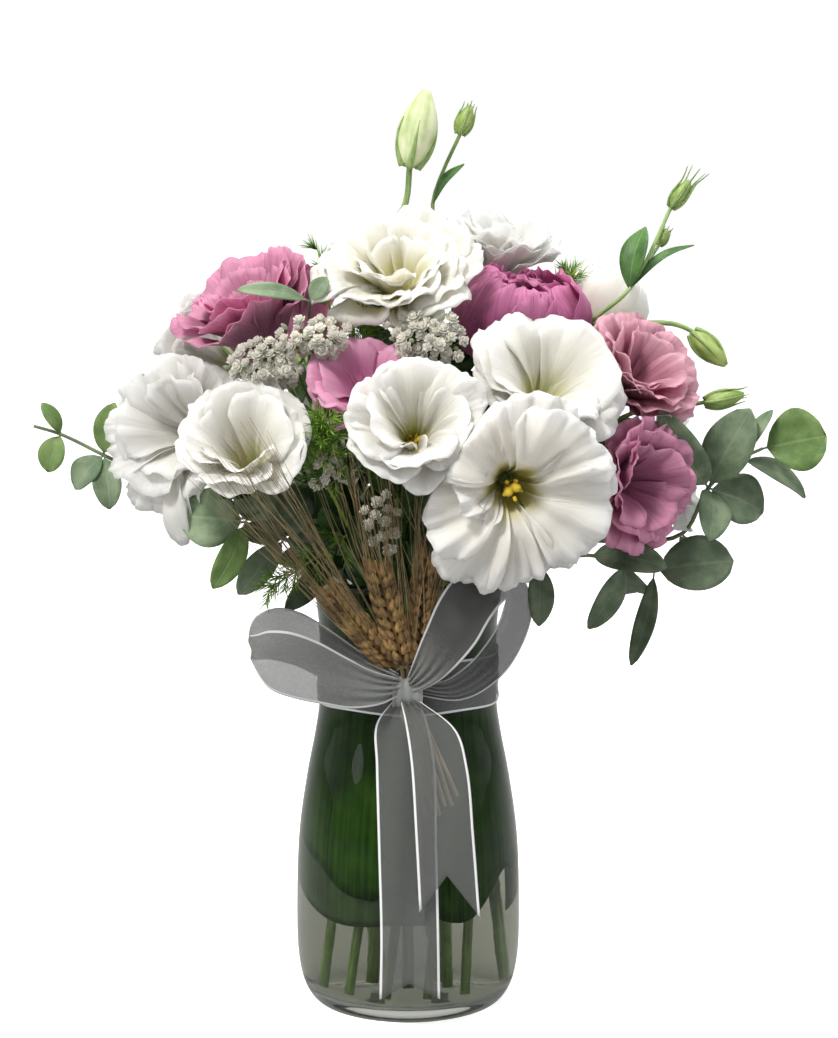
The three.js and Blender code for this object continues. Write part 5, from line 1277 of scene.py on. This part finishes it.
share = np.linspace(0, 1, 145)[:, None]
angle = np.radians(-90 + BAND_TURN * share)
v = np.linspace(0, 1, 25)[None, :]
neck = float(glass_radius(BAND_LOW))
z = BAND_LOW + (BAND_HIGH - BAND_LOW) * v + 0.5 * np.sin(5 * angle)
r = neck + 0.75 + 0.35 * share + 0.25 * np.sin(2 * np.pi * 3 * v + 3 * angle)
strip = sheet(np.stack([r * np.cos(angle), r * np.sin(angle), z], -1), RIBBON)
band = add_piece("band", [strip], sheer("sheer_band", 1.0, 0.51, 0.78), ["ribbon_band"])

LEFT_LOOP = [
    ((-4, -54.6, 169.1), (0, 0, 1), 8), ((-14.2, -59.5, 169.6), (-0.21, 0.07, 0.98), 16),
    ((-27.4, -64.5, 172.9), (-0.08, 0.09, 0.99), 24), ((-41.1, -68, 178.4), (-0.03, 0.11, 0.99), 29),
    ((-52.6, -69.5, 182.1), (-0.03, 0.1, 0.99), 31), ((-63.5, -69, 184.6), (-0.02, 0.3, 0.95), 28),
    ((-69.8, -66.5, 186.6), (-0.08, 0.6, 0.8), 22), ((-73.8, -61, 189.8), (-0.14, 0.7, 0.7), 15),
    ((-71.3, -56, 192.6), (-0.07, 0.5, 0.87), 21), ((-62.5, -53, 194.2), (0, 0.4, 0.92), 25),
    ((-51.3, -52, 191.4), (0, 0.25, 0.97), 26), ((-40.7, -51.8, 185.8), (0.04, 0.15, 0.99), 25),
    ((-24, -52.2, 177.3), (0.11, 0.09, 0.99), 18), ((-4.1, -52.4, 170.8), (0, 0, 1), 8),
]
RIGHT_LOOP = [
    ((1.4, -54.6, 170), (-0.3, 0, 0.95), 8), ((8.9, -60.5, 178.4), (-0.73, 0.4, 0.68), 16),
    ((15.9, -67, 190.4), (-0.6, 0.5, 0.62), 24), ((23.2, -71, 203.3), (-0.6, 0.45, 0.65), 28),
    ((29.8, -72, 214), (-0.6, 0.5, 0.6), 27), ((36, -70, 219.5), (-0.5, 0.65, 0.57), 26),
    ((43.2, -64, 220.5), (-0.2, 0.85, 0.5), 25), ((48.3, -58.5, 216.5), (0.25, 0.8, 0.5), 24),
    ((50.4, -55, 208.2), (0.6, 0.6, 0.45), 23), ((49.7, -53.5, 200.1), (0.8, 0.5, 0.3), 23),
    ((45.3, -52.5, 189), (0.88, 0.45, 0), 22), ((36.5, -52.5, 176.7), (0.85, 0.4, -0.34), 20),
    ((21.2, -52.5, 167), (0.68, 0.15, -0.73), 13), ((3.8, -52.4, 168.5), (0.33, 0, -0.94), 8),
]
LEFT_TAIL = [
    ((-1, -53, 164), (1, 0, 0.1), 9), ((-3, -54.4, 152), (1, 0, 0.1), 24),
    ((-1, -55.6, 132), (1, 0, 0), 28), ((0, -58, 92), (1, 0.05, 0), 28),
    ((1, -59.5, 50), (1, 0, 0), 28), ((1, -59, 18), (1, 0, 0), 29),
]
RIGHT_TAIL = [
    ((1, -55, 163), (1, 0, -0.1), 9), ((11, -58, 150), (1, 0, -0.1), 24),
    ((15, -60.4, 132), (1, 0, -0.1), 27), ((17.5, -63, 100), (1, -0.05, -0.1), 28),
    ((20, -64, 61), (1, 0, -0.1), 29),
]
tail_cloth = sheer("sheer_tails", 1.0, 0.45, 0.88)
# The right loop is painted much darker, as the painted shadow of the bloom above it, and the left loop a
# little lighter; both are painted paler by the knot.
for name, stations, cut, held, cloth in (
    ("loop_left", LEFT_LOOP, 0, "gathered", sheer("sheer_left_loop", 1.06, 0.65, 0.56, 1.6)),
    ("loop_right", RIGHT_LOOP, 0, "gathered", sheer("sheer_right_loop", 0.38, 0.72, 0.5, 1.4)),
    ("tail_left", LEFT_TAIL, 0.05, "hung", tail_cloth),
    ("tail_right", RIGHT_TAIL, 0.12, "hung", tail_cloth),
):
    strip = ribbon(stations, cut, len(name) * 1.3)
    piece = add_piece(name, [strip], cloth, ["ribbon_bow"])
    size = (RIBBON_WIDTH / 1000, strip_length(stations) * SLACK / 1000)

# The knot is a short length of the ribbon wound round the middle of the bow.
turn = np.linspace(0, 2 * np.pi * 1.06, 41)[:, None]
v = np.linspace(-1, 1, 25)[None, :]
waist = 5.2 - 0.27 * np.cos(np.pi * v) + 0.35 * np.sin(np.pi * 3.5 * v + 0.6)
grid = np.stack([7.2 * v + 0 * turn, 0.8 * waist * np.cos(turn), 1.35 * waist * np.sin(turn)], -1)
# The knot is painted brighter than the rest, as painted light, and its satin edges are painted as dim as its
# cloth.
cloth = sheer("sheer_knot", 1.75, 0.72, 0.3)
knot = add_piece("knot", [sheet(grid + KNOT, RIBBON)], cloth, ["ribbon_bow"])

# Plumes of fine-leaved fern fill the room between the blooms: thin branchlets with tufts of soft
# bright needles all round them.
FERNS = {
    # circle and slot, path, plumes (path, length of the branchlets, how many of them)
    "left": ("middle", 6, [(-27, -37, 240), (-38, -54, 266)], [
        ([(-38, -54, 264), (-39, -68, 282), (-38, -77, 297)], 17, 46),
        ([(-27, -37, 240), (-48, -52, 227), (-64, -58, 217)], 11, 20),
    ]),
    "centre": ("middle", 0, [(-14, -34, 246), (-22, -24, 300)], [
        ([(-22, -24, 300), (-21, -30, 334), (-18, -46, 347)], 13, 40),
        ([(-22, -24, 300), (-36, -10, 340), (-43, -6, 372)], 7, 12),
    ]),
    "right": ("middle", 3, [(34, 24, 256), (72, 22, 318)], [
        ([(72, 22, 318), (76, 12, 342), (78, 2, 360)], 12, 30),
    ]),
    "back": ("middle", 4, [(2, 40, 250), (-2, 62, 300)], [
        ([(-2, 62, 300), (-2, 74, 322), (-4, 84, 344)], 16, 34),
    ]),
}
GOLDEN = math.radians(137.5)
NEEDLES = 16
fern_needle = fibrous("fern_needle", (0.075, 0.19, 0.012), (0.23, 0.4, 0.045), 0.5, 4.0, 2.0, 0.35)
for seed, (name, (circle, slot, path, plumes)) in enumerate(FERNS.items()):
    rng = random.Random(700 + seed)
    route = route_through(circle, slot, FOLIAGE_FOOT, path)
    parts = [tube(route, np.linspace(1.1, 0.8, len(route)), 8)]
    for plume, length, branchlets in plumes:
        rachis = smooth(plume, 8)
        parts.append(tube(rachis, np.linspace(0.8, 0.4, len(rachis)), 6))
        for k in range(branchlets):
            share = (k + 1) / branchlets
            root, way = point_on(rachis, share)
            out = unit(square_to(way, k * GOLDEN) + way * (0.5 + 0.8 * share) + (0, 0, 0.2))
            far = length * (1.1 - 0.5 * share) * rng.uniform(0.75, 1.15)
            droop = np.array((0, 0, -0.12 * far))
            twig = smooth([root, root + out * far * 0.5, root + out * far + droop], 4)
            parts.append(tube(twig, np.linspace(0.3, 0.14, len(twig)), 4))
            for j in range(NEEDLES):
                spot, ahead = point_on(twig, 0.1 + 0.9 * j / (NEEDLES - 1))
                lean = unit(square_to(ahead, j * GOLDEN + k) + ahead * 1.5)
                tip = spot + lean * rng.uniform(4.5, 7.5)
                parts.append(tube([spot, spot * 0.55 + tip * 0.45, tip], [0.2, 0.3, 0.08], 3))
    tones = [rng.uniform(0.1, 1) for _ in parts]
    add_piece(f"plume_{name}", parts, fern_needle, [f"fern_{name}"], tones)

# Clouds of baby's breath stand between the blooms: small double florets, each a ball of round petals
# on a thread-like stalk, with a few green buds among them.
GYPSOPHILA = {
    # circle and slot, path, clusters (point of the path, centre, spread, florets)
    "left": ("inner", 6, [(-30, -24, 250), (-42, -34, 292), (-52, -48, 318)], [
        (2, (-66, -60, 321), (17, 9, 13), 42), (2, (-43, -60, 334), (17, 9, 9), 34),
        (1, (-38, -66, 274), (8, 5, 7), 8),
    ]),
    "centre": ("inner", 0, [(-8, -30, 252), (8, -34, 296), (10, -44, 320)], [
        (2, (9, -60, 334), (18, 9, 13), 44), (0, (-12, -68, 250), (9, 6, 14), 12),
    ]),
}
breath, tree = new_material("baby_breath")
mottle = speckle(tree, 500.0, 3.0)
green = ease(tree, tone_of(tree), 0.04, 0.0)
white = blend(tree, ease(tree, mottle, 0.35, 0.65), (0.94, 0.92, 0.82, 1), (1.0, 0.99, 0.95, 1))
colour = blend(tree, green, shaded(tree, white, 0.86, 1.05), (0.2, 0.3, 0.08, 1))
rough = ease(tree, mottle, 0.3, 0.7, 0.85, 0.7)
skin = {"Base Color": colour, "Roughness": rough, "Normal": bump(tree, mottle, 0.5, 0.0005)}
finish_material(tree, skin, {"Color": colour})
FLORET_PETAL = 0.18
# petals, how upright they are and their length, for each ring of a floret
FLORET_RINGS = ((6, -0.1, 0.95), (6, 0.45, 1.0), (5, 1.2, 1.0), (3, 3.5, 0.95))


def round_petal(root, way, up, length, width):
    """A small round petal that bends up as it opens."""
    t = np.linspace(0, 1, 4)[:, None]
    u = np.linspace(-1, 1, 3)[None, :]
    side = unit(np.cross(way, up))
    half = width / 2 * np.sqrt(np.sin(np.pi * np.clip(0.1 + 0.8 * t, 0, 1)))
    grid = root + way * (length * t)[..., None] + side * (u * half)[..., None]
    return sheet(grid + up * (0.4 * length * t**2 + 0.12 * length * u**2)[..., None], FLORET_PETAL)


def floret(centre, facing, size, rng):
    """Four rings of petals, each ring more upright than the one outside it."""
    facing = unit(facing)
    turn = rng.uniform(0, 6)
    parts = []
    for ring, (count, lean, length) in enumerate(FLORET_RINGS):
        for k in range(count):
            angle = turn + 2 * math.pi * (k + 0.5 * ring) / count + rng.uniform(-0.15, 0.15)
            out = square_to(facing, angle)
            way = unit(out + facing * lean)
            up = unit(facing - way * (facing @ way))
            far = size * length * rng.uniform(0.85, 1.1)
            parts.append(round_petal(centre + out * 0.08 * size, way, up, far, size * 0.72))
    return parts


for seed, (name, (circle, slot, path, clusters)) in enumerate(GYPSOPHILA.items()):
    rng = random.Random(800 + seed)
    route = route_through(circle, slot, FOLIAGE_FOOT, path)
    parts = [tube(route, np.linspace(1.1, 0.8, len(route)), 8)]
    tones = [0.0]
    for start, centre, spread, count in clusters:
        root, centre = np.array(path[start], float), np.array(centre, float)
        hub = root + (centre - root) * 0.6
        parts.append(tube(smooth([root, hub, root + (centre - root) * 0.85], 5), 0.6, 6))
        tones.append(0.0)
        for k in range(count):
            share = (k + 0.5) / count
            far = math.sqrt(share) * rng.uniform(0.85, 1.1)
            depth = share - 1 + rng.uniform(-0.3, 0.3)
            out = np.array([far * math.cos(k * GOLDEN), depth, far * math.sin(k * GOLDEN)])
            head = centre + out * spread
            facing = np.array([out[0] - 0.25, -0.9 + rng.uniform(-0.2, 0.4), out[2] + 0.5])
            size = rng.uniform(2.1, 3.5)
            stalk = smooth([hub, (hub + head) / 2 + (0, 0, -1), head - facing * 0.3], 4)
            parts.append(tube(stalk, 0.28, 4))
            tones.append(0.0)
            if rng.random() < 0.12:
                parts.append(pod(head, head + facing * 3, 2.2, sides=8, rings=7))
                tones.append(0.02)
                continue
            petals = floret(head, facing, size, rng)
            parts += petals
            tones += [rng.uniform(0.2, 1)] * len(petals)
    add_piece(f"florets_{name}", parts, breath, [f"gypsophila_{name}"], tones)
